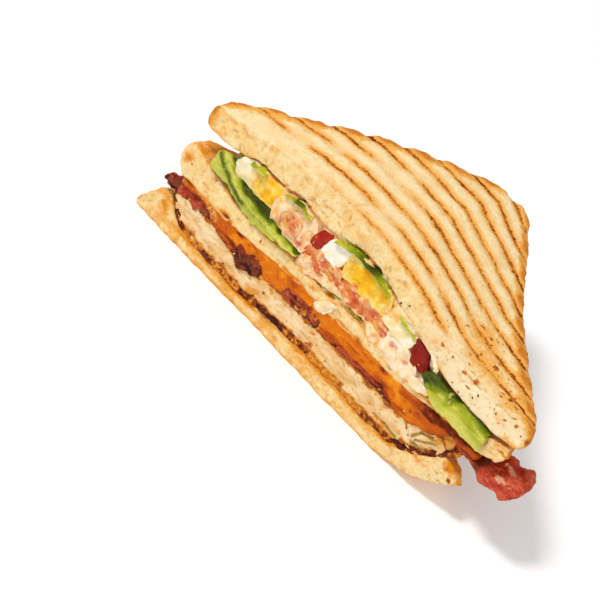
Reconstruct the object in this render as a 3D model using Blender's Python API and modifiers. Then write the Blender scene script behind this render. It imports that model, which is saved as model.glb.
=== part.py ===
"""Grilled chicken sandwich: one half of a triple-decker cut from corner to corner.

The half lies on its bottom toast. X runs along the knife cut from the thin end A to the
curled end C, Y goes from the cut face to the right-angled corner B, and Z is up. Lengths
are in millimetres until a mesh is finished, when MM turns them into metres.
"""
import math

import bmesh
import bpy
import numpy as np
from mathutils import Vector

MM = 0.001
GAP = 0.4                       # air between two layers that lie on each other
MODEL_NAME = "chicken_sandwich_half"

# The slices: squares of soft white bread with rounded corners, halved along a diagonal.
SLICE_CORNER = 13.0
TOP_WIDTH = 108.5
TOP_SHIFT = (0.0, -1.0)
MIDDLE_WIDTH = 107.0
MIDDLE_SHIFT = (-1.6, -1.8)
BOTTOM_WIDTH = 107.0            # the bottom slice is smaller and has slipped towards end A
BOTTOM_SHIFT = (-8.2, -4.4)
LEG_BOW = 4.2                   # the crusted side between B and C is hollow by this much
TOAST_CELLS = (26, 7)
TOAST_LEVELS = (0.0, 0.25, 0.75, 1.0)
BOTTOM_CRUST = ((0.0, 0.4), (0.25, 0.0), (0.75, 1.4), (1.0, 2.6))
BARREL_CRUST = ((0.0, 1.2), (0.25, 0.2), (0.75, 0.0), (1.0, 0.5))

# The knife leaned: its cut stands this much further out at the floor than on top.
CUT_LEAN = 3.8
CUT_LEAN_HEIGHT = 48.0

# End C of the bottom slice curls up from here on.
CURL_START = 33.0
CURL_RISE = 0.0428
CURL_POWER = 1.7
CURL_SLANT = 5.0                # its end face leans back by this much from bottom to top
CURL_LENGTH = 28.0

# Each layer's boundary where the knife went through, as (x, height above the floor).
BOTTOM_THICKNESS = ((-77, 5.0), (-72, 10.0), (-68, 11.0), (-60, 5.0), (-45, 3.6), (-32, 3.9),
                    (-18, 5.4), (0, 5.9), (22, 5.1), (36, 5.5), (46, 7.0), (54, 10.0), (62, 8.5))
CHICKEN_TOP = ((-76, 13.4), (-66, 14.0), (-52, 14.6), (-44, 13.6), (-36, 11.0), (-31, 12.0),
               (-26, 14.3), (-10, 14.9), (10, 15.2), (30, 15.0), (37, 15.8), (45, 20.2),
               (52, 19.8), (80, 20.2))
CHEESE_TOP = ((-72, 19.4), (-50, 19.2), (-36, 20.2), (-20, 21.6), (0, 21.4), (14, 22.6),
              (32, 22.7), (44, 25.2), (58, 25.6), (72, 28.6))
MIDDLE_TOP = ((-72, 31.4), (-63, 29.4), (-56, 28.0), (-44, 25.7), (-32, 25.8), (-22, 27.1), (-14, 26.2),
              (4, 27.6), (26, 26.0), (42, 27.6), (54, 30.0), (60, 32.2), (72, 34.2))
LEAF_TOP = ((-62, 31.0), (-54, 33.6), (-37, 33.4), (-33.5, 30.8), (-20, 30.4), (16, 29.2), (40, 30.0))
TOMATO_UNDER = ((-20, 30.8), (-5, 30.6), (7, 30.4), (16, 29.6))
TOMATO_TOP = ((-20, 35.5), (-5, 35.3), (7, 35.1), (16, 32.6))
EGG_UNDER = ((-16, 36.4), (-6, 35.9), (6, 35.8), (14, 35.2), (26, 33.6))
UNDERSIDE = ((-72, 38.2), (-64, 38.8), (-54, 40.2), (-48, 42.8), (-37, 42.8), (-29, 44.7),
             (-19, 42.6), (-10, 45.6), (-2, 46.6), (8, 45.2), (16, 42.2), (26, 39.6),
             (34, 36.8), (48, 35.2), (60, 34.6), (72, 36.4))
TOP_SURFACE = ((-72, 47.2), (-55, 49.2), (-36, 52.7), (-24, 53.9), (-8, 54.2), (6, 53.2),
               (20, 49.8), (34, 44.5), (46, 42.5), (72, 41.0))

# The same stack along its two crusted legs: its height there, and each boundary at corner B.
LEG_HEIGHT = ((-72, 49.2), (-35, 52.6), (0, 50.0), (35, 44.6), (72, 40.6))
CORNER_B_DEPTH = 71.0
CORNER_B_HEIGHT = 50.0
AT_CORNER_B = {"bottom": 7.0, "chicken": 15.8, "cheese": 21.2, "middle": 29.2, "leaf": 31.6,
               "tomato_under": 32.1, "tomato": 36.4, "egg": 36.9, "underside": 41.2,
               "top": CORNER_B_HEIGHT}

# Grill bars pressed their marks into the top: lines beside the cut that drift towards it.
GROOVE_COUNT = 8
GROOVE_FIRST = 2.4
GROOVE_PITCH = 8.25
GROOVE_DRIFT = 1.8
GROOVE_DRIFT_GAIN = 1.56
GROOVE_DRIFT_START = -2.0
GROOVE_DRIFT_LENGTH = 22.0
GROOVE_NEAREST = 2.0            # no mark comes closer to the cut than this
GROOVE_RADIUS = 1.3
GROOVE_DEPTH = 0.8
GROOVE_STEP = 9.0
GROOVE_OVERRUN = 5.0            # the bars run on past the crust

# Sauce and meat between the bottom and the middle slice.
SAUCE_THICKNESS = 1.5
SAUCE_SPAN = (-67.5, 55.5)
CHICKEN = (("chicken_end", -66.0, -42.4, 8), ("chicken_broken", -41.6, -27.4, 6),
           ("chicken_long", -26.6, 37.2, 14), ("chicken_tip", 38.2, 50.0, 6))
RASHERS = (("bacon_end", -75.0, -51.0, 3.2), ("bacon_charred", -41.5, -27.0, 6.4),
           ("bacon_middle", -21.0, -2.0, 4.6), ("bacon_thin", 3.0, 31.0, 3.2))
TIP_ROOM = ("bacon_tip", 47.0, 95.0, 3.4)
RASHER_EDGE = 3.0               # a rasher thins out over this length at either side
RASHER_TRIM = 1.6               # and its solid stops this far inside it
CHEESE_SPAN = (-67.0, 60.5)
CHEESE_STEP = 6.0

# The rasher whose end hangs out past end C, tilted so that its near edge is the lower one.
TIP_SPAN = (51.0, 77.0)
TIP_WIDTH = 12.5
TIP_THICKNESS = 2.2
TIP_CENTRE_Y = 3.2
TIP_HEIGHT = ((51, 21.6), (60, 21.7), (66, 22.9), (72, 23.8), (77, 24.2))
TIP_TILT = ((51, 0.0), (60, 2.0), (67, 24.0), (77, 34.0))
TIP_ROUNDING = 4.5
TIP_WAVE = 0.5

# Leaves. Two droop over the cut: the heights of their hanging edge and of their fold.
LEAF_THICKNESS = 0.9
LEAF_FRILL = 2.5                # how far a leaf stands out past the crust
LEAF_WAVE = 8.5
FACE_STAND_OFF = 1.0            # how far a hanging edge stands in front of the cut
SETTLE_LENGTH = 8.0
LEFT_LEAF_SPAN = (-61.5, -20.8)
LEFT_LEAF_LOW = ((-62, 30.0), (-50, 28.6), (-44, 26.8), (-38, 26.2), (-30, 27.4), (-20, 28.6))
LEFT_LEAF_HIGH = ((-62, 35.5), (-58.5, 38.2), (-55.6, 38.0), (-53.8, 33.2), (-37, 32.9),
                  (-33, 30.3), (-20, 29.9))
RIGHT_LEAF_SPAN = (32.8, 60.5)
RIGHT_LEAF_LOW = ((32, 31.2), (36.5, 29.8), (40, 26.2), (50, 25.4), (58, 25.0), (62, 27.0))
RIGHT_LEAF_HIGH = ((32, 33.6), (36, 34.8), (42, 34.3), (50, 33.7), (62, 33.4))
SLIVER_SPAN = (-12.5, 8.5)
SLIVER_ROOM = 1.8
BACK_LEAF_SPAN = (-44.0, 42.0)
BACK_LEAF_START = 26.5
UPPER_LEAVES = ((-50.5, -43.0), (-35.0, -23.3), (-13.6, 12.0), (17.0, 26.0))
UPPER_ROOM = 2.1                # height that an upper leaf takes under the top slice

# Boiled egg: a round slice halved by the knife, and the end of another one.
EGG_CENTRE_X = 5.5
EGG_RADIUS = 20.3
YOLK_CENTRE_X = 3.2
YOLK_RADIUS = 9.2
EGG_FRONT = -0.4
EGG_DEPTH = 19.5

COLOURS = {
    "bread": (0.90, 0.74, 0.47), "sauce": (0.16, 0.045, 0.02), "chicken": (0.86, 0.72, 0.50),
    "bacon": (0.42, 0.07, 0.045), "cheese": (0.86, 0.34, 0.03), "lettuce": (0.42, 0.60, 0.07),
    "egg_white": (0.93, 0.92, 0.86), "egg_yolk": (0.93, 0.63, 0.12),
    "tomato": (0.60, 0.06, 0.03), "mayonnaise": (0.93, 0.84, 0.66),
}
ROUGHNESS = {"bread": 0.85, "sauce": 0.35, "chicken": 0.6, "bacon": 0.4, "cheese": 0.4,
             "lettuce": 0.45, "egg_white": 0.35, "egg_yolk": 0.6, "tomato": 0.3,
             "mayonnaise": 0.3}
SHARP_ANGLE = math.radians(50)


# ------------------------------------------------------------ curves and layer boundaries

def profile(points):
    """A smooth curve through (x, value) points that never swings past its neighbours."""
    xs = np.array([p[0] for p in points], float)
    values = np.array([p[1] for p in points], float)
    slopes = np.diff(values) / np.diff(xs)
    tangents = np.zeros(len(xs))
    for i in range(1, len(xs) - 1):
        if slopes[i - 1] * slopes[i] > 0:
            tangents[i] = 2 * slopes[i - 1] * slopes[i] / (slopes[i - 1] + slopes[i])

    def value(x):
        x = min(max(x, xs[0]), xs[-1])
        i = min(int(np.searchsorted(xs, x, side="right")) - 1, len(xs) - 2)
        span = xs[i + 1] - xs[i]
        t = (x - xs[i]) / span
        ends = (1 + 2 * t) * (1 - t) ** 2 * values[i] + t * t * (3 - 2 * t) * values[i + 1]
        bend = t * (1 - t) ** 2 * tangents[i] - t * t * (1 - t) * tangents[i + 1]
        return float(ends + span * bend)
    return value


def smooth(t):
    t = min(max(t, 0.0), 1.0)
    return t * t * (3 - 2 * t)


def hump(x, start, end, edge):
    """One between start and end, with a straight ramp of the given length at either side."""
    return min(max((x - start) / edge, 0.0), 1.0) * min(max((end - x) / edge, 0.0), 1.0)


def towards_b(y):
    """How far a place is from the cut towards corner B, from 0 to 1."""
    return min(max(y / CORNER_B_DEPTH, 0.0), 1.0)


leg_height = profile(LEG_HEIGHT)


def boundary(points, name):
    """A layer boundary: its profile at the cut, eased into its height along the legs."""
    at_cut = profile(points)

    def height(x, y):
        at_leg = AT_CORNER_B[name] * leg_height(x) / CORNER_B_HEIGHT
        return at_cut(x) * (1 - towards_b(y)) + at_leg * towards_b(y)
    return height


def shifted(surface, offset):
    return lambda x, y: surface(x, y) + offset


def flat(height):
    return lambda x, y: height


def along_cut(points):
    at_cut = profile(points)
    return lambda x, y: at_cut(x)


bottom_thickness = profile(BOTTOM_THICKNESS)
chicken_top = boundary(CHICKEN_TOP, "chicken")
cheese_top = boundary(CHEESE_TOP, "cheese")
middle_top = boundary(MIDDLE_TOP, "middle")
leaf_top = boundary(LEAF_TOP, "leaf")
tomato_under = boundary(TOMATO_UNDER, "tomato_under")
tomato_top = boundary(TOMATO_TOP, "tomato")
egg_under = boundary(EGG_UNDER, "egg")
underside = boundary(UNDERSIDE, "underside")
top_surface = boundary(TOP_SURFACE, "top")


def curl(x, y):
    return CURL_RISE * max(x - CURL_START, 0.0) ** CURL_POWER


def bottom_top(x, y):
    thickness = bottom_thickness(x) * (1 - towards_b(y)) + AT_CORNER_B["bottom"] * towards_b(y)
    return curl(x, y) + thickness


def bacon_top(x, y):
    lift = sum(thick * hump(x, start, end, RASHER_EDGE)
               for _, start, end, thick in RASHERS + (TIP_ROOM,))
    return chicken_top(x, y) + lift * (1 - 0.5 * towards_b(y))


def above_sliver(x, y):
    """The top of the middle slice, raised where a sliver of leaf lies on it."""
    room = SLIVER_ROOM * hump(x, SLIVER_SPAN[0] - 1.5, SLIVER_SPAN[1] + 1.5, 1.4)
    return middle_top(x, y) + GAP + room


def cut_face(z):
    """Where the cut is at a height: it leans outwards towards the floor."""
    return -CUT_LEAN * (1 - z / CUT_LEAN_HEIGHT)


def diagonal_end(width):
    """Half the length of a rounded square's diagonal."""
    return width / math.sqrt(2) - SLICE_CORNER * (math.sqrt(2) - 1)


def leg_reach(x, width=TOP_WIDTH):
    """How far a halved slice reaches back from its diagonal at a place along it."""
    end = diagonal_end(width)
    along = min(abs(x), end)
    bow = LEG_BOW * math.sin(math.pi * along / end) ** 2 if x > 0 else 0.0
    round_part = SLICE_CORNER * math.sqrt(0.5)
    if along > end - SLICE_CORNER + round_part:
        straight = math.sqrt(max(SLICE_CORNER ** 2 - (along - end + SLICE_CORNER) ** 2, 0.0))
    elif along < round_part:
        straight = end - SLICE_CORNER + math.sqrt(SLICE_CORNER ** 2 - along ** 2)
    else:
        straight = width / math.sqrt(2) - along
    return max(straight - bow, 0.0)


# ------------------------------------------------------------ making solids

def stations(count, crowd=0.0):
    """Places from 0 to 1, crowded towards both ends by the share given."""
    steps = [i / count for i in range(count + 1)]
    return [(1 - crowd) * t + crowd * (0.5 - 0.5 * math.cos(math.pi * t)) for t in steps]


def sliced_box(us, vs, ws):
    """A unit box whose faces are sliced at the given places along its three edges."""
    bm = bmesh.new()
    bmesh.ops.create_cube(bm, size=1.0)
    bmesh.ops.translate(bm, verts=bm.verts, vec=(0.5, 0.5, 0.5))
    for axis, places in enumerate((us, vs, ws)):
        normal = Vector([float(axis == k) for k in range(3)])
        for place in places[1:-1]:
            geometry = bm.verts[:] + bm.edges[:] + bm.faces[:]
            bmesh.ops.bisect_plane(bm, geom=geometry, dist=1e-6,
                                   plane_co=normal * place, plane_no=normal)
    return bm


def add_object(name, kind, bm):
    """Finish a mesh: metres, triangles, outward faces, and a material of its own."""
    bmesh.ops.scale(bm, verts=bm.verts, vec=(MM, MM, MM))
    bmesh.ops.triangulate(bm, faces=bm.faces)
    bmesh.ops.recalc_face_normals(bm, faces=bm.faces)
    mesh = bpy.data.meshes.new(name)
    bm.to_mesh(mesh)
    bm.free()
    mesh.shade_smooth()
    mesh.set_sharp_from_angle(angle=SHARP_ANGLE)
    material = bpy.data.materials.new(name)
    material.use_nodes = True
    shader = material.node_tree.nodes["Principled BSDF"]
    shader.inputs["Base Color"].default_value = (*COLOURS[kind], 1.0)
    shader.inputs["Roughness"].default_value = ROUGHNESS[kind]
    shader.inputs["Metallic"].default_value = 0.0
    mesh.materials.append(material)
    obj = bpy.data.objects.new(name, mesh)
    parts.objects.link(obj)
    obj.parent = stand
    return obj


def add_cutter(name, mesh):
    """Keep a mesh as a guide that carves other pieces and is no part of the food."""
    obj = bpy.data.objects.new(name, mesh)
    obj.hide_render = True
    obj.display_type = "WIRE"
    obj.parent = stand
    cutters.objects.link(obj)
    return obj


def carve(obj, cutter):
    modifier = obj.modifiers.new(cutter.name, "BOOLEAN")
    modifier.operation = "DIFFERENCE"
    modifier.solver = "EXACT"
    modifier.object = cutter


def toast(name, width, shift, under, over, crust, slant=0.0):
    """One halved slice. crust gives how far its edge stands back at a share of its height."""
    stand_back = profile(crust)
    bm = sliced_box(stations(TOAST_CELLS[0], 0.75), stations(TOAST_CELLS[1], 0.5), TOAST_LEVELS)
    for vert in bm.verts:
        u, v, w = vert.co
        wide = width - 2 * stand_back(w)
        along = (2 * u - 1) * (diagonal_end(wide) - 0.15)
        x = along + shift[0]
        x -= slant * w * smooth((x - CURL_START) / CURL_LENGTH)
        front = cut_face(under(x, 0) * (1 - w) + over(x, 0) * w)
        back = leg_reach(along, wide) + shift[1]
        y = front + v * max(back - front, 0.6)
        vert.co = (x, y, under(x, y) * (1 - w) + over(x, y) * w)
    return add_object(name, "bread", bm)


def filling(name, kind, span, depth, under, over, cells, rounding=0.0, crust_gap=6.0, start=None):
    """A filling between two boundaries that runs back from the cut towards the crusts.

    span is its stretch along the cut, depth how far back it goes at most, crust_gap how far
    it stays inside the crusts, and start where it begins in Y if that isn't at the cut. The
    first of cells is a number of cells along the cut, or the places in X between them.
    """
    length = span[1] - span[0]
    if isinstance(cells[0], int):
        us = stations(cells[0], 0.5)
    else:
        us = [(x - span[0]) / length for x in cells[0]]
    bm = sliced_box(us, stations(cells[1], 0.5), stations(cells[2]))
    for vert in bm.verts:
        u, v, w = vert.co
        x = span[0] + u * length
        front = start
        if start is None:
            front = cut_face(under(x, 0) * (1 - w) + over(x, 0) * w)
        back = max(min(front + depth, leg_reach(x) - crust_gap * math.sqrt(2)), front + 1.5)
        y = front + v * (back - front)
        low, high = under(x, y), over(x, y)
        if rounding:
            edge = min(u * length, (1 - u) * length, (1 - v) * (back - front))
            full = math.sqrt(1 - (1 - min(edge / rounding, 1.0)) ** 2)
            squeeze = 0.35 * (high - low) * (1 - full)
            low, high = low + squeeze, high - squeeze
        vert.co = (x, y, low * (1 - w) + high * w)
    return add_object(name, kind, bm)


def leaf(name, span, lie, depth, start=None, face=None, ruffle=0.12, frill=1.2, cells=(24, 10)):
    """A thin wavy leaf. face gives the low and high edge of a part that droops over the cut."""
    bm = bmesh.new()
    bmesh.ops.create_grid(bm, x_segments=cells[0], y_segments=cells[1], size=0.5)
    drooping = 0.35 if face else 0.0
    for vert in bm.verts:
        u, v = vert.co.x + 0.5, vert.co.y + 0.5
        x = span[0] + u * (span[1] - span[0])
        wave = math.sin(2 * math.pi * (x / LEAF_WAVE + 0.7 * v))
        front = cut_face(lie(x, 0)) if start is None else start
        crust = leg_reach(x)
        back = max(min(front + depth, crust + LEAF_FRILL), front + 4.0)
        if v < drooping:
            turn = v / drooping * math.pi / 2
            z = face[0](x) + (face[1](x) - face[0](x)) * math.sin(turn)
            y = cut_face(z) - FACE_STAND_OFF * math.cos(turn) - 0.25 * (1 + wave) * math.cos(turn)
        else:
            share = (v - drooping) / (1 - drooping)
            y = front + share * (back - front)
            fold = face[1](x) if face else lie(x, y)
            settled = smooth((y - front) / SETTLE_LENGTH)
            outside = smooth((y - crust + 6.0) / 6.0)
            rise = (ruffle * wave + frill * outside * (1 + wave)) * share
            z = fold * (1 - settled) + lie(x, y) * settled + rise
        vert.co = (x, y, z)
    bmesh.ops.triangulate(bm, faces=bm.faces)
    obj = add_object(name, "lettuce", bm)
    sheet = obj.modifiers.new("thickness", "SOLIDIFY")
    sheet.thickness = LEAF_THICKNESS * MM
    sheet.offset = 0.0
    return obj


def rasher_end():
    """The rasher that lies flat under the cheese and leaves end C with a twist."""
    height, tilt = profile(TIP_HEIGHT), profile(TIP_TILT)
    bm = sliced_box(stations(14, 0.3), stations(4, 0.6), (0.0, 0.5, 1.0))
    for vert in bm.verts:
        u, v, w = vert.co
        x = TIP_SPAN[0] + u * (TIP_SPAN[1] - TIP_SPAN[0])
        free = smooth((x - 60.0) / 6.0)
        narrow = math.sqrt(1 - 0.75 * smooth(1 + (x - TIP_SPAN[1]) / TIP_ROUNDING) ** 2)
        across = (v - 0.5) * TIP_WIDTH * narrow
        marbling = 0.75 + 0.25 * math.sin(0.9 * x) * math.cos(0.5 * across)
        thickness = TIP_THICKNESS * marbling * math.sqrt(1 - 0.7 * (2 * v - 1) ** 2)
        rise = (w - 0.5) * thickness + TIP_WAVE * free * math.sin(0.55 * x + 0.35 * across)
        angle = math.radians(tilt(x))
        y = TIP_CENTRE_Y + across * math.cos(angle) - rise * math.sin(angle)
        vert.co = (x, y, height(x) + across * math.sin(angle) + rise * math.cos(angle))
    return add_object("bacon_tip", "bacon", bm)


def egg_ring(name, under, over):
    """The white of a round egg slice that the knife halved: half a ring round the yolk."""
    bm = sliced_box(stations(16), (0.0, 1.0), stations(2))
    for vert in bm.verts:
        u, v, w = vert.co
        across, back = -math.cos(math.pi * u), math.sin(math.pi * u)
        inner = Vector((YOLK_CENTRE_X + (YOLK_RADIUS + GAP) * across,
                        EGG_FRONT + (YOLK_RADIUS + GAP) * back))
        outer = Vector((EGG_CENTRE_X + EGG_RADIUS * across, EGG_FRONT + EGG_DEPTH * back))
        x, y = inner.lerp(outer, v)
        vert.co = (x, y, under(x, y) * (1 - w) + over(x, y) * w)
    return add_object(name, "egg_white", bm)


def egg_yolk(name, under, over):
    """The yolk of the same slice: half a disc behind the cut."""
    bm = sliced_box(stations(10, 1.0), stations(2), stations(2))
    for vert in bm.verts:
        u, v, w = vert.co
        across = (2 * u - 1) * (YOLK_RADIUS - 0.1)
        x = YOLK_CENTRE_X + across
        y = EGG_FRONT + v * math.sqrt(YOLK_RADIUS ** 2 - across ** 2)
        vert.co = (x, y, under(x, y) * (1 - w) + over(x, y) * w)
    return add_object(name, "egg_yolk", bm)


def pocket(name, low, high):
    """A block-shaped guide that makes room for a piece of tomato in the mayonnaise."""
    bm = bmesh.new()
    bmesh.ops.create_cube(bm, size=1.0)
    for vert in bm.verts:
        vert.co = [MM * (low[k] + (vert.co[k] + 0.5) * (high[k] - low[k])) for k in range(3)]
    mesh = bpy.data.meshes.new(name)
    bm.to_mesh(mesh)
    bm.free()
    return add_cutter(name, mesh)


def groove_line(index, x):
    """Where one grill mark runs: beside the cut, drifting towards it past the middle."""
    settled = 1 - math.exp(-max(x - GROOVE_DRIFT_START, 0.0) / GROOVE_DRIFT_LENGTH)
    drift = (GROOVE_DRIFT + GROOVE_DRIFT_GAIN * index) * settled
    return max(GROOVE_FIRST + GROOVE_PITCH * index - drift, GROOVE_NEAREST)


def grill_bars():
    """The bars that pressed their marks into the top slice, as one guide."""
    curve = bpy.data.curves.new("grill_bars", "CURVE")
    curve.dimensions = "3D"
    curve.bevel_depth = GROOVE_RADIUS * MM
    curve.bevel_resolution = 0
    curve.use_fill_caps = True
    for index in range(GROOVE_COUNT):
        reach = diagonal_end(TOP_WIDTH) - GROOVE_PITCH * index + GROOVE_OVERRUN
        count = math.ceil(2 * reach / GROOVE_STEP)
        spline = curve.splines.new("POLY")
        spline.points.add(count)
        for i, point in enumerate(spline.points):
            x = reach * (2 * i / count - 1)
            y = groove_line(index, x)
            z = top_surface(x, y) + GROOVE_RADIUS - GROOVE_DEPTH
            point.co = (x * MM, y * MM, z * MM, 1.0)
    bars = bpy.data.objects.new("grill_bar_curves", curve)
    cutters.objects.link(bars)
    evaluated = bars.evaluated_get(bpy.context.evaluated_depsgraph_get())
    mesh = bpy.data.meshes.new_from_object(evaluated)
    bpy.data.objects.remove(bars)
    bm = bmesh.new()
    bm.from_mesh(mesh)
    bmesh.ops.remove_doubles(bm, verts=bm.verts, dist=1e-6)
    bmesh.ops.recalc_face_normals(bm, faces=bm.faces)
    bm.to_mesh(mesh)
    bm.free()
    return add_cutter("grill_bars", mesh)


# ------------------------------------------------------------ the layers, from the floor up

def make_toasts():
    toast("toast_bottom", BOTTOM_WIDTH, BOTTOM_SHIFT, curl, bottom_top, BOTTOM_CRUST,
          slant=CURL_SLANT)
    toast("toast_middle", MIDDLE_WIDTH, MIDDLE_SHIFT, shifted(cheese_top, GAP), middle_top,
          BARREL_CRUST)
    top = toast("toast_top", TOP_WIDTH, TOP_SHIFT, underside, top_surface, BARREL_CRUST)
    carve(top, grill_bars())


def ramp_places(span, step):
    """Places along a span: wherever the meat below bends, with even steps between them."""
    bends = [span[0], span[1]] + [x for x, _ in CHICKEN_TOP]
    for _, start, end, _ in RASHERS + (TIP_ROOM,):
        bends += [start, start + RASHER_EDGE, end - RASHER_EDGE, end]
    bends = sorted(b for b in bends if span[0] <= b <= span[1])
    places = []
    for low, high in zip(bends, bends[1:]):
        count = max(round((high - low) / step), 1)
        places += [low + (high - low) * i / count for i in range(count)]
    return places + [span[1]]


def make_lower_fillings():
    """Dark sauce, breaded chicken, bacon and melted cheese."""
    sauce_under = shifted(bottom_top, GAP + 0.3)
    sauce_top = shifted(sauce_under, SAUCE_THICKNESS)
    filling("sauce_dark", "sauce", SAUCE_SPAN, 90, sauce_under, sauce_top, (26, 4, 1),
            crust_gap=9.0)
    for name, start, end, cells in CHICKEN:
        depth = 24 if name == "chicken_tip" else 90
        filling(name, "chicken", (start, end), depth, shifted(sauce_top, GAP), chicken_top,
                (cells, 5, 2), rounding=1.4, crust_gap=7.0)
    for name, start, end, _ in RASHERS:
        span = (start + RASHER_TRIM, end - RASHER_TRIM)
        filling(name, "bacon", span, 70, shifted(chicken_top, GAP), bacon_top,
                (ramp_places(span, CHEESE_STEP), 4, 1), crust_gap=1.0)
    rasher_end()
    filling("cheese", "cheese", CHEESE_SPAN, 90, shifted(bacon_top, GAP), cheese_top,
            (ramp_places(CHEESE_SPAN, CHEESE_STEP), 5, 1), crust_gap=2.5)


def make_leaves():
    on_middle = shifted(middle_top, GAP + 0.6)
    left_face = (profile(LEFT_LEAF_LOW), profile(LEFT_LEAF_HIGH))
    right_face = (profile(RIGHT_LEAF_LOW), profile(RIGHT_LEAF_HIGH))
    leaf("lettuce_left", LEFT_LEAF_SPAN, shifted(leaf_top, -0.6), 24, face=left_face,
         cells=(20, 8))
    leaf("lettuce_right", RIGHT_LEAF_SPAN, on_middle, 22, face=right_face, cells=(14, 8))
    leaf("lettuce_sliver", SLIVER_SPAN, on_middle, 22, cells=(9, 3))
    leaf("lettuce_back", BACK_LEAF_SPAN, on_middle, 60, start=BACK_LEAF_START, cells=(28, 5))
    for index, span in enumerate(UPPER_LEAVES):
        leaf("lettuce_upper_%d" % (index + 1), span, shifted(underside, -1.0), 18,
             cells=(7, 3))


def make_eggs():
    over = shifted(underside, -UPPER_ROOM)
    egg_ring("egg_white_right", egg_under, over)
    egg_yolk("egg_yolk_right", egg_under, over)
    under = shifted(leaf_top, GAP + 0.4)
    filling("egg_white_left", "egg_white", (-53.4, -44.4), 60, under, over, (5, 4, 2),
            rounding=0.6)
    filling("egg_yolk_left", "egg_yolk", (-43.9, -36.0), 60, under, over, (5, 4, 2),
            rounding=0.6)


def make_tomatoes():
    below_toast = shifted(underside, -GAP)
    on_tomato = shifted(tomato_top, GAP)
    filling("tomato_slice_left", "tomato", (-19.8, -5.2), 70, tomato_under, tomato_top,
            (7, 5, 2), rounding=0.6)
    filling("tomato_slice_right", "tomato", (-4.4, 16.2), 70, tomato_under, tomato_top,
            (8, 5, 2), rounding=0.6)
    filling("tomato_slice_corner", "tomato", (17.0, 42.0), 60, shifted(leaf_top, 0.5),
            tomato_top, (8, 4, 2), rounding=1.5, start=BACK_LEAF_START)
    filling("tomato_slice_back", "tomato", (-19.6, 27.0), 60, on_tomato, below_toast,
            (11, 4, 2), rounding=2.0, start=20.5)
    filling("tomato_red_left", "tomato", (-19.8, -15.3), 12, on_tomato,
            shifted(below_toast, -0.8), (4, 3, 2), rounding=0.3)
    filling("tomato_red_right", "tomato", (26.3, 32.2), 12, flat(31.5), below_toast,
            (4, 3, 2), rounding=0.3)
    filling("tomato_dice_left", "tomato", (-31.3, -25.9), 3.4, flat(32.9), flat(36.9),
            (4, 2, 2), rounding=0.6)


def make_mayonnaise():
    left = filling("mayonnaise_left", "mayonnaise", (-35.4, -20.4), 60,
                   shifted(leaf_top, GAP + 0.4), shifted(underside, -UPPER_ROOM), (6, 5, 2),
                   rounding=0.7)
    carve(left, pocket("dice_pocket", (-31.7, -4.0, 32.5), (-25.5, 3.0, 37.3)))
    filling("mayonnaise_under", "mayonnaise", (-20.2, 16.2), 24, above_sliver,
            shifted(tomato_under, -GAP), (16, 3, 1))
    filling("mayonnaise_right", "mayonnaise", (16.8, 30.2), 24, shifted(middle_top, GAP),
            along_cut(((16, 32.8), (24.5, 32.6), (26.0, 31.0), (31, 30.8))), (7, 3, 2),
            rounding=0.5)
    filling("mayonnaise_strip", "mayonnaise", (30.8, 37.4), 3.0, shifted(middle_top, GAP),
            flat(28.9), (5, 2, 2), rounding=0.8)


def rest_on_origin():
    """Move the stand so that the middle of the food's underside is the origin."""
    graph = bpy.context.evaluated_depsgraph_get()
    points = []
    for obj in parts.objects:
        if obj.type == "MESH":
            solid = obj.evaluated_get(graph)
            points += [solid.matrix_world @ vert.co for vert in solid.data.vertices]
    low = Vector([min(p[k] for p in points) for k in range(3)])
    high = Vector([max(p[k] for p in points) for k in range(3)])
    stand.location = (-(low.x + high.x) / 2, -(low.y + high.y) / 2, -low.z)


for old in list(bpy.data.objects):
    bpy.data.objects.remove(old)
parts = bpy.data.collections.new(MODEL_NAME)
cutters = bpy.data.collections.new(MODEL_NAME + "_guides")
bpy.context.scene.collection.children.link(parts)
bpy.context.scene.collection.children.link(cutters)
stand = bpy.data.objects.new("stand", None)
parts.objects.link(stand)

make_toasts()
make_lower_fillings()
make_leaves()
make_eggs()
make_tomatoes()
make_mayonnaise()
rest_on_origin()
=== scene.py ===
"""The looks of a grilled chicken sandwich half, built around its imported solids.

Shapes are worked out in millimetres from the middle of the cut at floor height: x runs along the
cut, y from the cut towards the crusted corner, z up. Form.write and to_row turn them into metres
in the row's own frame.
"""
import math
from itertools import product

import bmesh
import bpy
import numpy as np
from mathutils import Matrix, Vector


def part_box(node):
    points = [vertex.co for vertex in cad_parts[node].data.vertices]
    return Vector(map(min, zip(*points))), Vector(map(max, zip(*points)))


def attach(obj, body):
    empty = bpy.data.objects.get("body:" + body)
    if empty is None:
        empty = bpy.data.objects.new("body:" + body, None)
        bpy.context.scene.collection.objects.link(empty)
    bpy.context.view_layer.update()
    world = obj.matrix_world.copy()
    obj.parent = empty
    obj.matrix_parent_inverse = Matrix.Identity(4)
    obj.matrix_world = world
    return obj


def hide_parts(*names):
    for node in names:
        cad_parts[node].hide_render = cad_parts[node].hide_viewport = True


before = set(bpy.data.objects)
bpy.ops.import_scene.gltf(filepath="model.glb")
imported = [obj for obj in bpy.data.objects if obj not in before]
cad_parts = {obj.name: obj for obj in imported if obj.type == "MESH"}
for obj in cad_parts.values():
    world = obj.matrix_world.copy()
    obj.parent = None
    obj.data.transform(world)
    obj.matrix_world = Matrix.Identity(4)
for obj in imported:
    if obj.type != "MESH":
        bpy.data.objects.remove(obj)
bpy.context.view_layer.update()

MM = 0.001
SLICE_WIDTH = 108.5
SLICE_CORNER = 13.0
SLICE_BACK = 1.0                # the top slice sits this much nearer the cut than its diagonal
LEG_BOW = 4.2                   # its crusted side beyond the corner is hollow by this much
HALF_DIAGONAL = SLICE_WIDTH / math.sqrt(2) - SLICE_CORNER * (math.sqrt(2) - 1)
TOP_LOW, TOP_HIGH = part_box("toast_top")
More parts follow.
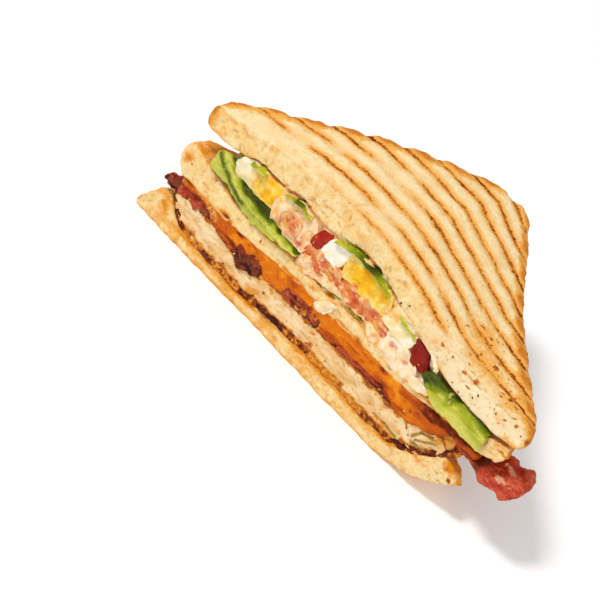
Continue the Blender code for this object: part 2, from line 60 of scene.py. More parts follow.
CUT_MIDDLE = np.array([(TOP_LOW.x + TOP_HIGH.x) / 2,
                       TOP_HIGH.y - (HALF_DIAGONAL - SLICE_BACK) * MM, 0.0])
CUT_LEAN = 3.8                  # the cut stands this much further out at the floor than on top
CUT_LEAN_HEIGHT = 48.0
CUT_NEAR = 1.2                  # a point this near the knife's plane shows at the cut
CUT_STEP = 1.5                  # the cut's upper and lower edges are found in steps of this
PLAIN_WIDTH = 107.0             # the middle and bottom slices, and where each is shifted to
MIDDLE_SHIFT = (-1.6, -1.8)
BOTTOM_SHIFT = (-8.2, -4.4)
FLOOR_CLEARANCE = 0.02
SCATTER_DEPTH = 0.6             # how far light goes into the food
TOP_VOXEL = 0.48
PLAIN_VOXEL = 0.58
SLAB_FRONT = 1.5                # a slab of filling sticks out of the cut by this much,
SLAB_DEPTH = 9.0                # reaches this far back
SLAB_OVERLAP = 0.3              # and goes this far into the slices below and above it
DRIP_STEPS = 14                 # drops between two places of a run of dressing,
DRIP_FLATNESS = 0.3             # and their thickness over their width
CRUMB_START = 30.0              # crumbs come from this far in front of the cut
CRUMB_REACH = 36.0              # and stay on what they meet within this reach

# Grill marks on the top slice: lines beside the cut that drift towards it past the middle.
MARK_COUNT = 9
MARK_FIRST = 2.4
MARK_PITCH = 8.25
MARK_DRIFT = 1.8
MARK_DRIFT_GAIN = 1.56
MARK_DRIFT_START = -2.0
MARK_DRIFT_LENGTH = 22.0
MARK_NEAREST = 2.0
MARK_HALF_WIDTH = 1.1
MARK_DEPTH = 0.4
MARK_SCALE = 12                 # the bread's marks attribute is the count of marks plus 1, over this
BETWEEN_MARKS = 1.5 / MARK_SCALE


# ------------------------------------------------------------ numbers that vary over a surface

def smooth(t, low=0.0, high=1.0):
    """From 0 at low to 1 at high, easing in and out."""
    t = np.clip((t - low) / (high - low), 0.0, 1.0)
    return t * t * (3 - 2 * t)


def lattice(cells, seed):
    """A repeatable random number from 0 to 1 for every whole-numbered cell."""
    cells = cells.astype(np.int64)
    mixed = (cells[..., 0] * 73856093) ^ (cells[..., 1] * 19349663) ^ (cells[..., 2] * 83492791)
    mixed = (mixed ^ ((seed + 1) * 2654435761)) & 0xFFFFFFFF
    for _ in range(2):
        mixed = (((mixed >> 16) ^ mixed) * 0x45D9F3B) & 0xFFFFFFFF
    return ((mixed >> 16) ^ mixed) / 0xFFFFFFFF


def noise(points, size, seed=0, octaves=2):
    """Smooth noise from -1 to 1 with lumps about size across, half as large in each octave."""
    total = np.zeros(len(points))
    for octave in range(octaves):
        scaled = points / np.asarray(size, float) * 2 ** octave + 17.3 * octave
        cell = np.floor(scaled)
        t = smooth(scaled - cell)
        value = np.zeros(len(points))
        for corner in product((0, 1), repeat=3):
            weight = np.prod(np.where(corner, t, 1 - t), axis=1)
            value += weight * lattice(cell + corner, seed + 31 * octave)
        total += (2 * value - 1) * 0.5 ** octave
    return total


def blot(p, spots, up=2):
    """How strongly soft spots, each (x, z, half width, half height), cover points of the cut."""
    cover = np.zeros(len(p))
    for at_x, at_z, wide, tall in spots:
        away = ((p[:, 0] - at_x) / wide) ** 2 + ((p[:, up] - at_z) / tall) ** 2
        cover = np.maximum(cover, np.exp(-away))
    return cover


def mark_line(index, x):
    """Where one grill mark runs."""
    settled = 1 - np.exp(-np.maximum(x - MARK_DRIFT_START, 0) / MARK_DRIFT_LENGTH)
    drift = (MARK_DRIFT + MARK_DRIFT_GAIN * index) * settled
    return np.maximum(MARK_FIRST + MARK_PITCH * index - drift, MARK_NEAREST)


def mark_count(x, y):
    """How many grill marks lie between a place and the cut: a whole number on each mark."""
    lines = [mark_line(index, x) for index in range(MARK_COUNT)]
    count = (y - lines[0]) / (lines[1] - lines[0])
    for index in range(1, MARK_COUNT - 1):
        step = lines[index + 1] - lines[index]
        count = np.where(y > lines[index], index + (y - lines[index]) / step, count)
    return count


def leg_distance(x, y, width=SLICE_WIDTH, shift=(0.0, -SLICE_BACK)):
    """How far a place is inside the two crusted legs of a halved slice."""
    along = (x - shift[0]) / (width / math.sqrt(2))
    bow = LEG_BOW * np.sin(math.pi * np.clip(along, 0, 1)) ** 2
    return (width / math.sqrt(2) - np.abs(x - shift[0]) - (y - shift[1]) - bow) / math.sqrt(2)


def cut_plane(z):
    """Where the knife's cut is at a height."""
    return -CUT_LEAN * (1 - z / CUT_LEAN_HEIGHT)


# ------------------------------------------------------------ meshes

def to_row(point):
    """From millimetres about the cut to metres in the row's frame."""
    return Vector(np.array(point) * MM + CUT_MIDDLE)


def add_object(name, data):
    made = bpy.data.objects.new(name, data)
    bpy.context.scene.collection.objects.link(made)
    return made


def read(items, name, width, kind=np.float32):
    """One value of all points or edges of a mesh, a row for each."""
    flat = np.zeros(len(items) * width, kind)
    items.foreach_get(name, flat)
    return flat.reshape(-1, width)


class Form:
    """A fine closed mesh over the form of CAD nodes, as points that can be moved together."""

    def __init__(self, name, nodes, voxel, levels=0, rough_bmesh=None):
        self.name, self.nodes = name, nodes
        bm = rough_bmesh or bmesh.new()
        for node in nodes:
            bm.from_mesh(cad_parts[node].data)
        bmesh.ops.remove_doubles(bm, verts=bm.verts, dist=1e-6)
        mesh = bpy.data.meshes.new(name)
        bm.to_mesh(mesh)
        bm.free()
        rough = add_object(name + "_rough", mesh)
        if levels:
            finer = rough.modifiers.new("finer", "SUBSURF")
            finer.levels = finer.render_levels = levels
        if voxel:
            even = rough.modifiers.new("even", "REMESH")
            even.mode = "VOXEL"
            even.voxel_size = voxel * MM
        graph = bpy.context.evaluated_depsgraph_get()
        self.mesh = bpy.data.meshes.new_from_object(rough.evaluated_get(graph))
        bpy.data.objects.remove(rough)
        bpy.data.meshes.remove(mesh)
        self.mesh.name = name
        self.mesh.materials.clear()
        self.co = (read(self.mesh.vertices, "co", 3).astype(float) - CUT_MIDDLE) / MM
        self.pairs = read(self.mesh.edges, "vertices", 2, np.int32)

    def write(self):
        points = self.co * MM + CUT_MIDDLE
        self.mesh.vertices.foreach_set("co", points.astype(np.float32).ravel())
        self.mesh.update()

    def normals(self):
        self.write()
        return read(self.mesh.vertex_normals, "vector", 3).astype(float)

    def ridges(self, turn=0.1):
        """The points on sharp edges, where the surface turns much from one point to the next."""
        n = self.normals()
        a, b = self.pairs.T
        bend = 1 - np.sum(n[a] * n[b], axis=1)
        sharp = np.zeros(len(self.co), bool)
        sharp[a[bend > turn]] = True
        sharp[b[bend > turn]] = True
        return sharp

    def relax(self, rounds, weight=None, ridge=None):
        """Move points towards the middle of their neighbours; ridge points follow the ridge."""
        a = np.concatenate((self.pairs[:, 0], self.pairs[:, 1]))
        b = np.concatenate((self.pairs[:, 1], self.pairs[:, 0]))
        if ridge is not None:
            kept = ridge[b] | ~ridge[a]
            a, b = a[kept], b[kept]
        size = len(self.co)
        count = np.bincount(a, minlength=size)
        share = np.where(count > 0, 0.6, 0.0) if weight is None else 0.6 * weight * (count > 0)
        for _ in range(rounds):
            sums = [np.bincount(a, self.co[b, k], minlength=size) for k in range(3)]
            middle = np.stack(sums, axis=1) / np.maximum(count, 1)[:, None]
            self.co += (middle - self.co) * share[:, None]

    def push(self, amount):
        """Move points along their normals, by one amount or by an amount each."""
        self.co += np.asarray(amount).reshape(-1, 1) * self.normals()

    def swell(self, amount, along=None):
        """Grow up and down, and lengthwise by another amount, with corners as sharp as they are."""
        low, high = self.band()
        x = self.co[:, 0]
        middle = (x.min() + x.max()) / 2
        self.co[:, 2] += amount * (low - high) / np.maximum(low + high, 1.0)
        longer = amount if along is None else along
        self.co[:, 0] += longer * (x - middle) / (x.max() - middle)

    def draw_corners(self, share):
        """Make a round outline in the cut squarer; a share of 1 makes a circle a square."""
        ends = self.co[:, [0, 2]].min(axis=0), self.co[:, [0, 2]].max(axis=0)
        middle, half = (ends[0] + ends[1]) / 2, (ends[1] - ends[0]) / 2
        away = (self.co[:, [0, 2]] - middle) / half
        reach = np.maximum(np.abs(away).max(axis=1), 1e-6)
        stretch = (np.linalg.norm(away, axis=1) / reach) ** share
        self.co[:, [0, 2]] = middle + away * half * stretch[:, None]

    def flush(self, relief):
        """Trim the front along the knife's plane, with relief added at each point."""
        self.co[:, 1] = np.maximum(self.co[:, 1], cut_plane(self.co[:, 2]) + relief)

    def edges(self):
        """Places along the cut, and the heights between which the piece shows there."""
        front = self.co[:, 1] < cut_plane(self.co[:, 2]) + CUT_NEAR
        start = self.co[:, 0].min()
        column = ((self.co[:, 0] - start) / CUT_STEP).astype(int)
        low = np.full(column.max() + 1, np.inf)
        high = -low
        np.minimum.at(low, column[front], self.co[front, 2])
        np.maximum.at(high, column[front], self.co[front, 2])
        cut = np.isfinite(low)
        places = start + (np.arange(len(low)) + 0.5) * CUT_STEP
        return places[cut], low[cut], high[cut]

    def band(self):
        """How far each point is above the lower and below the upper edge of the cut there."""
        places, low, high = self.edges()
        x, z = self.co[:, 0], self.co[:, 2]
        return z - np.interp(x, places, low), np.interp(x, places, high) - z

    def paint(self, **layers):
        """Values from 0 to 1 at the points, for the material."""
        for name, values in layers.items():
            layer = self.mesh.attributes.new(name, "FLOAT", "POINT")
            layer.data.foreach_set("value", np.clip(values, 0, 1).astype(np.float32))

    def finish(self, slot, material):
        """Put the piece in the scene, in place of its nodes."""
        self.write()
        self.mesh.shade_smooth()
        self.mesh.materials.append(material)
        piece = add_object(self.name, self.mesh)
        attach(piece, "root")
        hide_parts(*self.nodes)


# ------------------------------------------------------------ materials

def srgb(red, green, blue):
    """A colour as seen, from 0 to 255, turned into the shader's linear values."""
    channels = [c / 255 for c in (red, green, blue)]
    linear = [c / 12.92 if c <= 0.04045 else ((c + 0.055) / 1.055) ** 2.4 for c in channels]
    return (*linear, 1.0)


class Finish:
    """A material under construction; its colour is laid on in layers, the first by start."""

    def __init__(self, name, roughness, scatter=0.0, reach=(1.0, 0.5, 0.25), specular=0.1):
        self.material = bpy.data.materials.new(name)
        self.material.use_nodes = True
        self.tree = self.material.node_tree
        self.shader = self.tree.nodes["Principled BSDF"]
        for socket, value in (("Roughness", roughness), ("Specular IOR Level", specular),
                              ("Subsurface Weight", scatter), ("Subsurface Radius", reach),
                              ("Subsurface Scale", SCATTER_DEPTH * MM)):
            self.shader.inputs[socket].default_value = value
        self.place = self.node("TexCoord").outputs["Object"]

    def link(self, value, socket):
        if isinstance(value, bpy.types.NodeSocket):
            self.tree.links.new(value, socket)
        else:
            socket.default_value = value

    def node(self, kind, **values):
        """A shader node, with a value or another node's output for each input that is named."""
        made = self.tree.nodes.new("ShaderNode" + kind)
        for name, value in values.items():
            self.link(value, made.inputs[name.replace("_", " ")])
        return made

    def attribute(self, name):
        made = self.node("Attribute")
        made.attribute_name = name
        return made.outputs["Fac"]

    def scaled(self, size, stretch):
        scale = [s / (size * MM) for s in stretch]
        return self.node("Mapping", Vector=self.place, Scale=scale).outputs["Vector"]

    def noise(self, size, detail=3.0, stretch=(1, 1, 1), rough=0.6):
        """Noise from 0 to 1 with lumps about size millimetres across."""
        return self.node("TexNoise", Vector=self.scaled(size, stretch), Scale=1.0, Detail=detail,
                         Roughness=rough).outputs["Fac"]

    def cells(self, size, stretch):
        """The distance to the nearest of scattered places about size millimetres apart."""
        made = self.node("TexVoronoi", Vector=self.scaled(size, stretch), Scale=1.0)
        made.feature = "SMOOTH_F1"
        return made.outputs["Distance"]

    def math(self, operation, a, b, c=0.0):
        made = self.node("Math")
        made.operation = operation
        for value, socket in zip((a, b, c), made.inputs):
            self.link(value, socket)
        return made.outputs[0]

    def varied(self, value, grain, amount):
        """A value pushed up and down by grain, which runs from 0 to 1."""
        return self.math("ADD", value, self.math("MULTIPLY_ADD", grain, amount, -amount / 2))

    def span(self, value, low, high):
        """A value stretched so that low becomes 0 and high becomes 1, and held there."""
        made = self.node("MapRange", Value=value, From_Min=min(low, high), From_Max=max(low, high),
                         To_Min=float(low > high), To_Max=float(low <= high))
        made.interpolation_type = "SMOOTHSTEP"
        return made.outputs["Result"]

    def mix(self, factor, a, b):
        """One colour over another; each is another node's output or as seen, from 0 to 255."""
        made = self.node("Mix")
        made.data_type = "RGBA"
        for value, socket in ((factor, 0), (a, 6), (b, 7)):
            self.link(srgb(*value) if isinstance(value, tuple) else value, made.inputs[socket])
        return made.outputs[2]

    def start(self, value, low, high, a, b):
        """Begin the colour: a where a value is low, b where it is high."""
        self.colour = self.mix(self.span(value, low, high), a, b)

    def cover(self, factor, colour):
        """Lay a colour over what is there, as far as a factor from 0 to 1 says."""
        self.colour = self.mix(factor, self.colour, colour)

    def turn(self, value, low, high, colour):
        """Lay a colour over what is there as a value goes from low to high."""
        self.cover(self.span(value, low, high), colour)

    def finished(self, *relief):
        """The material, with relief from (height, distance in millimetres) layers, one on another."""
        self.link(self.colour, self.shader.inputs["Base Color"])
        above = self.shader.inputs["Normal"]
        for height, distance in reversed(relief):
            made = self.node("Bump", Distance=distance * MM, Height=height)
            self.tree.links.new(made.outputs["Normal"], above)
            above = made.inputs["Normal"]
        return self.material


def bread_finish():
    """Soft crumb, paler where light is painted, that browns with golden and char; pit is a pore, painted
    as shade.

    marks counts grill lines, and press is how hard the grill bore down.
    """
    f = Finish("bread", 0.85, scatter=0.05)
    fine, wide, grain = f.noise(1.2, 4), f.noise(6.0, 3), f.noise(0.45, 2)
    f.start(wide, 0.35, 0.68, (251, 229, 174), (248, 211, 142))
    f.turn(fine, 0.45, 0.75, (243, 192, 114))
    f.turn(grain, 0.54, 0.76, (239, 182, 102))
    # Painted light: the crumb is made paler on its upper faces and on part of its cut.
    f.cover(f.attribute("light"), (253, 236, 200))
    golden = f.varied(f.varied(f.attribute("golden"), fine, 0.6), grain, 0.3)
    f.turn(golden, 0.1, 0.6, (240, 172, 74))
    f.turn(golden, 0.6, 1.1, (204, 116, 34))
    # Painted shade: darker and browner the deeper a point lies in a pore or dimple.
    f.cover(f.math("MULTIPLY", f.attribute("pit"), 0.7), (236, 172, 84))
    stain = f.varied(f.attribute("stain"), fine, 0.6)
    f.turn(stain, 0.15, 0.8, (228, 138, 26))

    press = f.attribute("press")
    count = f.math("MULTIPLY", f.attribute("marks"), float(MARK_SCALE))
    shaky = f.varied(f.varied(count, f.noise(3.0, 2), 0.16), f.noise(0.7, 3), 0.22)
    offset = f.math("SUBTRACT", shaky, f.math("ROUND", shaky, 0.0))
    near = f.math("MULTIPLY", f.span(offset, -0.4, -0.1), f.span(offset, 0.38, 0.1))
    f.cover(f.math("MULTIPLY", near, f.span(press, 0.0, 0.5)), (243, 178, 84))
    broken = f.varied(f.varied(press, f.noise(2.2, 3), 1.7), f.noise(0.55, 3), 1.9)
    line = f.math("MULTIPLY", f.span(offset, -0.11, -0.03), f.span(offset, 0.13, 0.05))
    burn = f.math("MULTIPLY", f.math("MULTIPLY", line, broken), f.span(press, 0.05, 0.45))
    f.turn(burn, 0.05, 0.4, (220, 140, 52))
    f.turn(burn, 0.4, 0.8, (172, 90, 28))
    f.turn(burn, 0.8, 1.2, (104, 44, 12))

    char = f.varied(f.attribute("char"), f.noise(0.7, 3), 0.9)
    f.turn(char, 0.3, 0.55, (204, 118, 40))
    f.turn(char, 0.55, 0.95, (112, 50, 10))
    return f.finished((f.noise(0.8, 4, rough=0.7), 0.35), (grain, 0.12))


def cheese_finish():
    """Melted orange cheese: fried is where it browned, and darker towards its lower edge; pale where thin
    on the crumb.
    """
    f = Finish("cheese", 0.4, scatter=0.08, reach=(1.0, 0.35, 0.08))
    wide, fine = f.noise(5.0, 3, stretch=(0.5, 1, 1.3)), f.noise(1.3, 3, stretch=(0.5, 1, 1))
    f.start(wide, 0.35, 0.65, (222, 118, 2), (200, 92, 2))
    f.turn(fine, 0.52, 0.78, (238, 148, 26))
    f.turn(fine, 0.44, 0.24, (176, 68, 2))
    f.turn(f.noise(9.0, 2), 0.55, 0.7, (242, 144, 18))
    grain = f.noise(0.9, 4)
    thin = f.mix(f.span(grain, 0.42, 0.62), (250, 202, 108), (226, 142, 38))
    f.turn(f.varied(f.attribute("pale"), fine, 0.8), 0.2, 0.8, thin)
    fried = f.varied(f.varied(f.attribute("fried"), fine, 0.6), grain, 0.5)
    f.turn(fried, 0.15, 0.6, (184, 78, 6))
    f.turn(fried, 0.6, 1.05, (104, 28, 2))
    return f.finished((f.noise(2.0, 3), 0.4), (f.noise(0.6, 2), 0.12))


def sauce_finish():
    """Golden to orange-brown pan sauce, nearly black-red where it is thick."""
    f = Finish("sauce", 0.4, scatter=0.03)
    fine = f.noise(1.1, 4)
    f.start(fine, 0.35, 0.7, (226, 152, 50), (190, 104, 26))
    dark = f.varied(f.varied(f.attribute("dark"), f.noise(2.2, 4), 1.9), fine, 1.1)
    f.turn(dark, 0.2, 0.55, (150, 72, 18))
    f.turn(dark, 0.55, 0.85, (104, 38, 10))
    f.turn(dark, 0.85, 1.2, (62, 18, 6))
    return f.finished((fine, 0.4))


def chicken_finish():
    """Pale meat with fibres along it; crumb is its breaded skin, seam painted shade in a fold of the
    skin.
    """
    f = Finish("chicken", 0.55, scatter=0.08, reach=(1.0, 0.5, 0.3), specular=0.2)
    fibre = f.noise(1.3, 4, stretch=(0.35, 1, 1))
    wide, fine = f.noise(5.0, 3, stretch=(0.6, 1, 1)), f.noise(0.7, 3)
    f.start(wide, 0.35, 0.65, (246, 218, 172), (234, 190, 126))
    f.turn(fibre, 0.46, 0.72, (212, 160, 88))
    f.turn(fine, 0.64, 0.78, (168, 124, 54))
    skin = f.varied(f.varied(f.attribute("crumb"), fine, 0.7), f.noise(2.2, 2), 0.5)
    f.turn(skin, 0.2, 0.6, (224, 150, 54))
    f.turn(skin, 0.6, 0.95, (170, 92, 24))
    f.turn(skin, 0.95, 1.25, (104, 46, 10))
    # Painted shade along the folds of the skin.
    seam = f.varied(f.attribute("seam"), fine, 0.5)
    f.turn(seam, 0.25, 0.65, (172, 136, 62))
    f.turn(seam, 0.7, 1.05, (104, 72, 24))
    return f.finished((fibre, 0.4), (fine, 0.2))


def bacon_finish():
    """Fried red meat with paler fatty streaks along the rasher, char where it caught, painted highlights.
    """
    f = Finish("bacon", 0.35, scatter=0.05, reach=(1.0, 0.25, 0.15), specular=0.15)
    streak, fine = f.noise(2.6, 3, stretch=(0.5, 1, 1.6)), f.noise(0.7, 3)
    f.start(streak, 0.38, 0.62, (170, 42, 24), (204, 88, 58))
    f.turn(fine, 0.46, 0.24, (126, 22, 8))
    f.turn(f.noise(1.6, 3), 0.56, 0.78, (222, 122, 74))
    # Cream over the fatty streaks, and over the tip's flecks of painted highlight.
    f.cover(f.attribute("fat"), (246, 204, 158))
    burnt = f.varied(f.attribute("char"), fine, 0.7)
    f.turn(burnt, 0.25, 0.6, (116, 46, 18))
    f.turn(burnt, 0.65, 1.05, (52, 18, 8))
    return f.finished((streak, 0.5), (fine, 0.25))


def lettuce_finish():
    """Waxy leaf: yellow-green on the blade, nearly white along the ribs; painted shade darkens its folds.
    """
    f = Finish("lettuce", 0.4, scatter=0.1, reach=(0.5, 1.0, 0.15), specular=0.15)
    wide, vein = f.noise(4.0, 3), f.noise(1.5, 3, stretch=(0.16, 1, 1.3))
    f.start(wide, 0.35, 0.65, (156, 164, 20), (188, 188, 50))
    f.turn(vein, 0.5, 0.66, (212, 206, 88))
    f.turn(vein, 0.42, 0.28, (128, 142, 12))
    # Painted shade: deep darkens the leaf in its folds, in its shadow spots and above its hem.
    deep = f.varied(f.varied(f.attribute("deep"), vein, 0.5), f.noise(0.8, 3), 0.3)
    f.turn(deep, 0.1, 0.5, (134, 150, 12))
    f.turn(deep, 0.45, 0.8, (84, 98, 4))
    f.turn(deep, 0.8, 1.15, (44, 42, 2))
    f.cover(f.attribute("rib"), (220, 212, 108))
    return f.finished((f.cells(1.8, (0.6, 1, 1)), 0.2), (vein, 0.5), (f.noise(0.6, 3), 0.15))


def egg_white_finish():
    """Smooth boiled white; yolky is where yolk is smeared over it."""
    f = Finish("egg_white", 0.35, scatter=0.1, reach=(1.0, 0.95, 0.85), specular=0.25)
    f.start(f.noise(3.0, 3), 0.35, 0.7, (250, 247, 232), (242, 228, 194))
    yolky = f.varied(f.attribute("yolky"), f.noise(1.6, 3), 0.7)
    f.turn(yolky, 0.15, 0.5, (250, 222, 158))
    f.turn(yolky, 0.5, 1.0, (236, 170, 60))
    return f.finished((f.noise(1.8, 3), 0.25))


def egg_yolk_finish():
    """Crumbly set yolk, pale where white or dressing is smeared over it."""
    f = Finish("egg_yolk", 0.6, scatter=0.06, reach=(1.0, 0.6, 0.15))
    fine = f.noise(1.0, 4)
    f.start(f.noise(3.2, 3), 0.35, 0.65, (250, 200, 40), (238, 166, 8))
    f.turn(f.noise(5.0, 2), 0.5, 0.7, (252, 222, 118))
    f.turn(fine, 0.54, 0.8, (252, 218, 100))
    f.turn(fine, 0.42, 0.22, (218, 140, 18))
    smeared = f.varied(f.attribute("smeared"), f.noise(1.8, 3), 1.0)
    f.turn(smeared, 0.35, 1.1, (252, 226, 140))
    return f.finished((fine, 0.4))


def tomato_finish(name, flesh, pale, vein, veins):
    """Wet flesh with paler walls between its seed chambers and veins of dressing.

    veins is the noise that they begin at, so more is fewer; dressed is smeared with dressing.
    """
    f = Finish(name, 0.3, scatter=0.06, reach=(1.0, 0.25, 0.12), specular=0.15)
    wide, fine = f.noise(2.4, 4, stretch=(0.6, 1, 1)), f.noise(0.8, 3)
    f.start(wide, 0.34, 0.64, flesh, pale)
    f.turn(f.noise(2.6, 3), veins, veins + 0.2, vein)
    f.turn(f.noise(3.6, 3), veins + 0.02, veins + 0.16, (228, 168, 72))
    f.turn(fine, 0.62, 1.0, vein)
    dressed = f.varied(f.attribute("dressed"), f.noise(1.8, 3), 0.9)
    f.turn(dressed, 0.25, 0.95, (248, 206, 152))
    return f.finished((wide, 0.5), (fine, 0.2))


def mayonnaise_finish(name, light, shade, spot):
    """Glossy dressing in two tones with spots; pink is where tomato juice ran into it."""
    f = Finish(name, 0.35, scatter=0.1, reach=(1.0, 0.8, 0.5), specular=0.25)
    f.start(f.noise(2.8, 4), 0.38, 0.62, light, shade)
    f.turn(f.noise(1.5, 3), 0.58, 0.75, spot)
    pink = f.varied(f.attribute("pink"), f.noise(1.6, 3), 0.7)
    f.turn(pink, 0.2, 0.8, (204, 98, 70))
    return f.finished((f.noise(2.2, 3), 0.4), (f.noise(0.6, 2), 0.1))


# ------------------------------------------------------------ toast

def bread_crumb(form, p, cut, seed):
    """Torn pores on the cut of a slice. Gives how deep in a pore each point is, also painted as shade."""
    flat = p * (0.7, 1, 1)
    pit = smooth(noise(flat, 2.3, seed, 3), 0.5, 1.1) + 0.8 * smooth(noise(p, 1.2, seed + 10), 0.5, 1.1)
    tear = noise(p, 2.6, seed + 20, 3)
    form.push(-cut * (0.58 * np.clip(pit, 0, 1.2) - 0.22 * tear))
    return np.clip(pit, 0, 1) * cut


def toast_base(node, voxel, fill=None):
    """A slice without its facets: flat stretches are evened out, its edges stay edges.

    fill gives, for a form, how much of each place is evened out first, edges and all.
    """
    form = Form(node + "_fine", [node], voxel)
    if fill is not None:
        form.relax(70, weight=fill(form))
    ridge = form.ridges()
    form.relax(50, ridge=ridge)
    form.relax(2)
    form.push(0.2)
    return form


def rim_of_cut(p):
    """From 0 in the middle of a piece's cut to 0.75 at its outline."""
    middle = (p.min(axis=0) + p.max(axis=0)) / 2
    away = (p - middle) / (p.max(axis=0) - middle)
    return 0.75 * smooth(np.hypot(away[:, 0], away[:, 2]), 0.45, 1.0)


def cut_side(n):
    return smooth(-n[:, 1], 0.35, 0.75)


def toast_top(material):
    def old_grooves(form):
        """Where the solid's own grooves are, which finer ones take the place of."""
        x, y, _ = form.co.T
        inside = smooth(leg_distance(x, y), 2.0, 4.0) * smooth(y, -1.5, 0.5)
        count = mark_count(x, y)
        away = np.abs(count - np.round(count)) * MARK_PITCH
        return smooth(away, 3.0, 2.2) * inside * (form.normals()[:, 2] > 0.25)

    form = toast_base("toast_top", TOP_VOXEL, old_grooves)
    p, n = form.co.copy(), form.normals()
    x, y, _ = p.T
    cut, up = cut_side(n), smooth(n[:, 2], 0.45, 0.8)
    inset = leg_distance(x, y)
    low, _ = form.band()
    form.push(0.35 * noise(p, 12.0, 1) + 0.2 * noise(p, 4.0, 2))
    pit = bread_crumb(form, p, cut, 3)

    count = mark_count(x, y + 0.35 * noise(p, 5.0, 40, 2))
    away = (count - np.round(count)) * MARK_PITCH
    press = (0.46 + 0.06 * smooth(x, -30, 6) + 0.1 * smooth(x, 14, 34)
             + 0.3 * smooth(inset, 12, 2) + 0.3 * noise(p * (1, 1, 0), 9.0, 43, 2))
    press = np.clip(press, 0.1, 1.1) * (0.75 + 0.25 * smooth(x + 0.6 * y, -56, -30))
    press = press * np.where(count < 0.5, (0.45 + 0.35 * smooth(x, -20, 0))
                             * smooth(x, -60, -50) * smooth(x, 36, 26), 1.0)
    mark = np.exp(-(away / MARK_HALF_WIDTH) ** 2)
    ridge = 0.2 * smooth(np.abs(away), 0.8, 3.2)
    form.push(up * (ridge - MARK_DEPTH * mark * np.clip(press, 0.3, 1.0)))
    dimple = smooth(noise(p, 1.5, 44, 2), 0.62, 1.0)
    form.push(up * (0.14 * noise(p, 1.3, 45, 2) - 0.35 * dimple))

    spots = blot(p, ((33, 43.4, 0.8, 0.6), (37.5, 43.0, 0.6, 0.6), (43, 42.0, 1.2, 0.6),
                     (47.5, 42.0, 1.4, 0.7), (46.5, 39.5, 1.3, 0.5), (53, 42.8, 0.9, 0.8),
                     (56.5, 42.2, 1.3, 0.7), (58, 40.0, 0.7, 0.5), (61.5, 40.6, 0.7, 0.6),
                     (65, 41.4, 0.9, 0.6), (68, 40.4, 0.5, 0.5), (70.6, 40.2, 1.1, 1.3)))
    singed = 0.8 * spots * smooth(y, 2.5, 0.0)
    speckled = blot(p, ((44, 8, 11, 6), (36, 15, 7, 6), (58, 5, 6, 4)), up=1)
    specks = smooth(noise(p, 1.3, 46, 2), 0.35, 0.75) * up * (0.3 + 0.7 * speckled) * smooth(x, 0, 30)
    rim = smooth(inset + 1.2 * noise(p, 3.0, 47, 2), 6.0 + 1.3 * smooth(x, 6, -6), 0.6)
    side = (1 - cut) * (1 - up)
    golden = up * (0.06 + 1.25 * rim + 0.5 * speckled)
    golden = golden + side * (0.95 + 0.3 * noise(p, 5.0, 48, 2) - 0.1 * smooth(x, 5, 30))
    mottle = 0.34 * smooth(noise(p, 5.0, 49, 2), 0.0, 0.7) + 0.22 * smooth(low, 1.6, 0.2)
    ends = 0.5 * smooth(x, -66, -70.5) + 0.3 * smooth(x, 66, 71)
    form.paint(char=np.maximum(0.9 * specks, singed))
    form.paint(golden=golden + cut * (mottle + 1.4 * ends))
    # Painted light: the upward faces, and the cut towards its far end, are painted paler.
    form.paint(light=0.65 * cut * smooth(x, 10, 45) + 0.3 * up)
    # Painted shade in the pores of the cut and in the dimples on top.
    form.paint(pit=np.maximum(pit, up * dimple * 0.7))
    form.paint(stain=0.25 * cut * smooth(low + noise(p, 3.0, 50), 1.5, 0.0))
    form.paint(marks=np.where(up > 0.01, (count + 1) / MARK_SCALE, BETWEEN_MARKS))
    form.paint(press=press * up * smooth(inset, -0.5, 1.0))
    form.finish("bread", material)


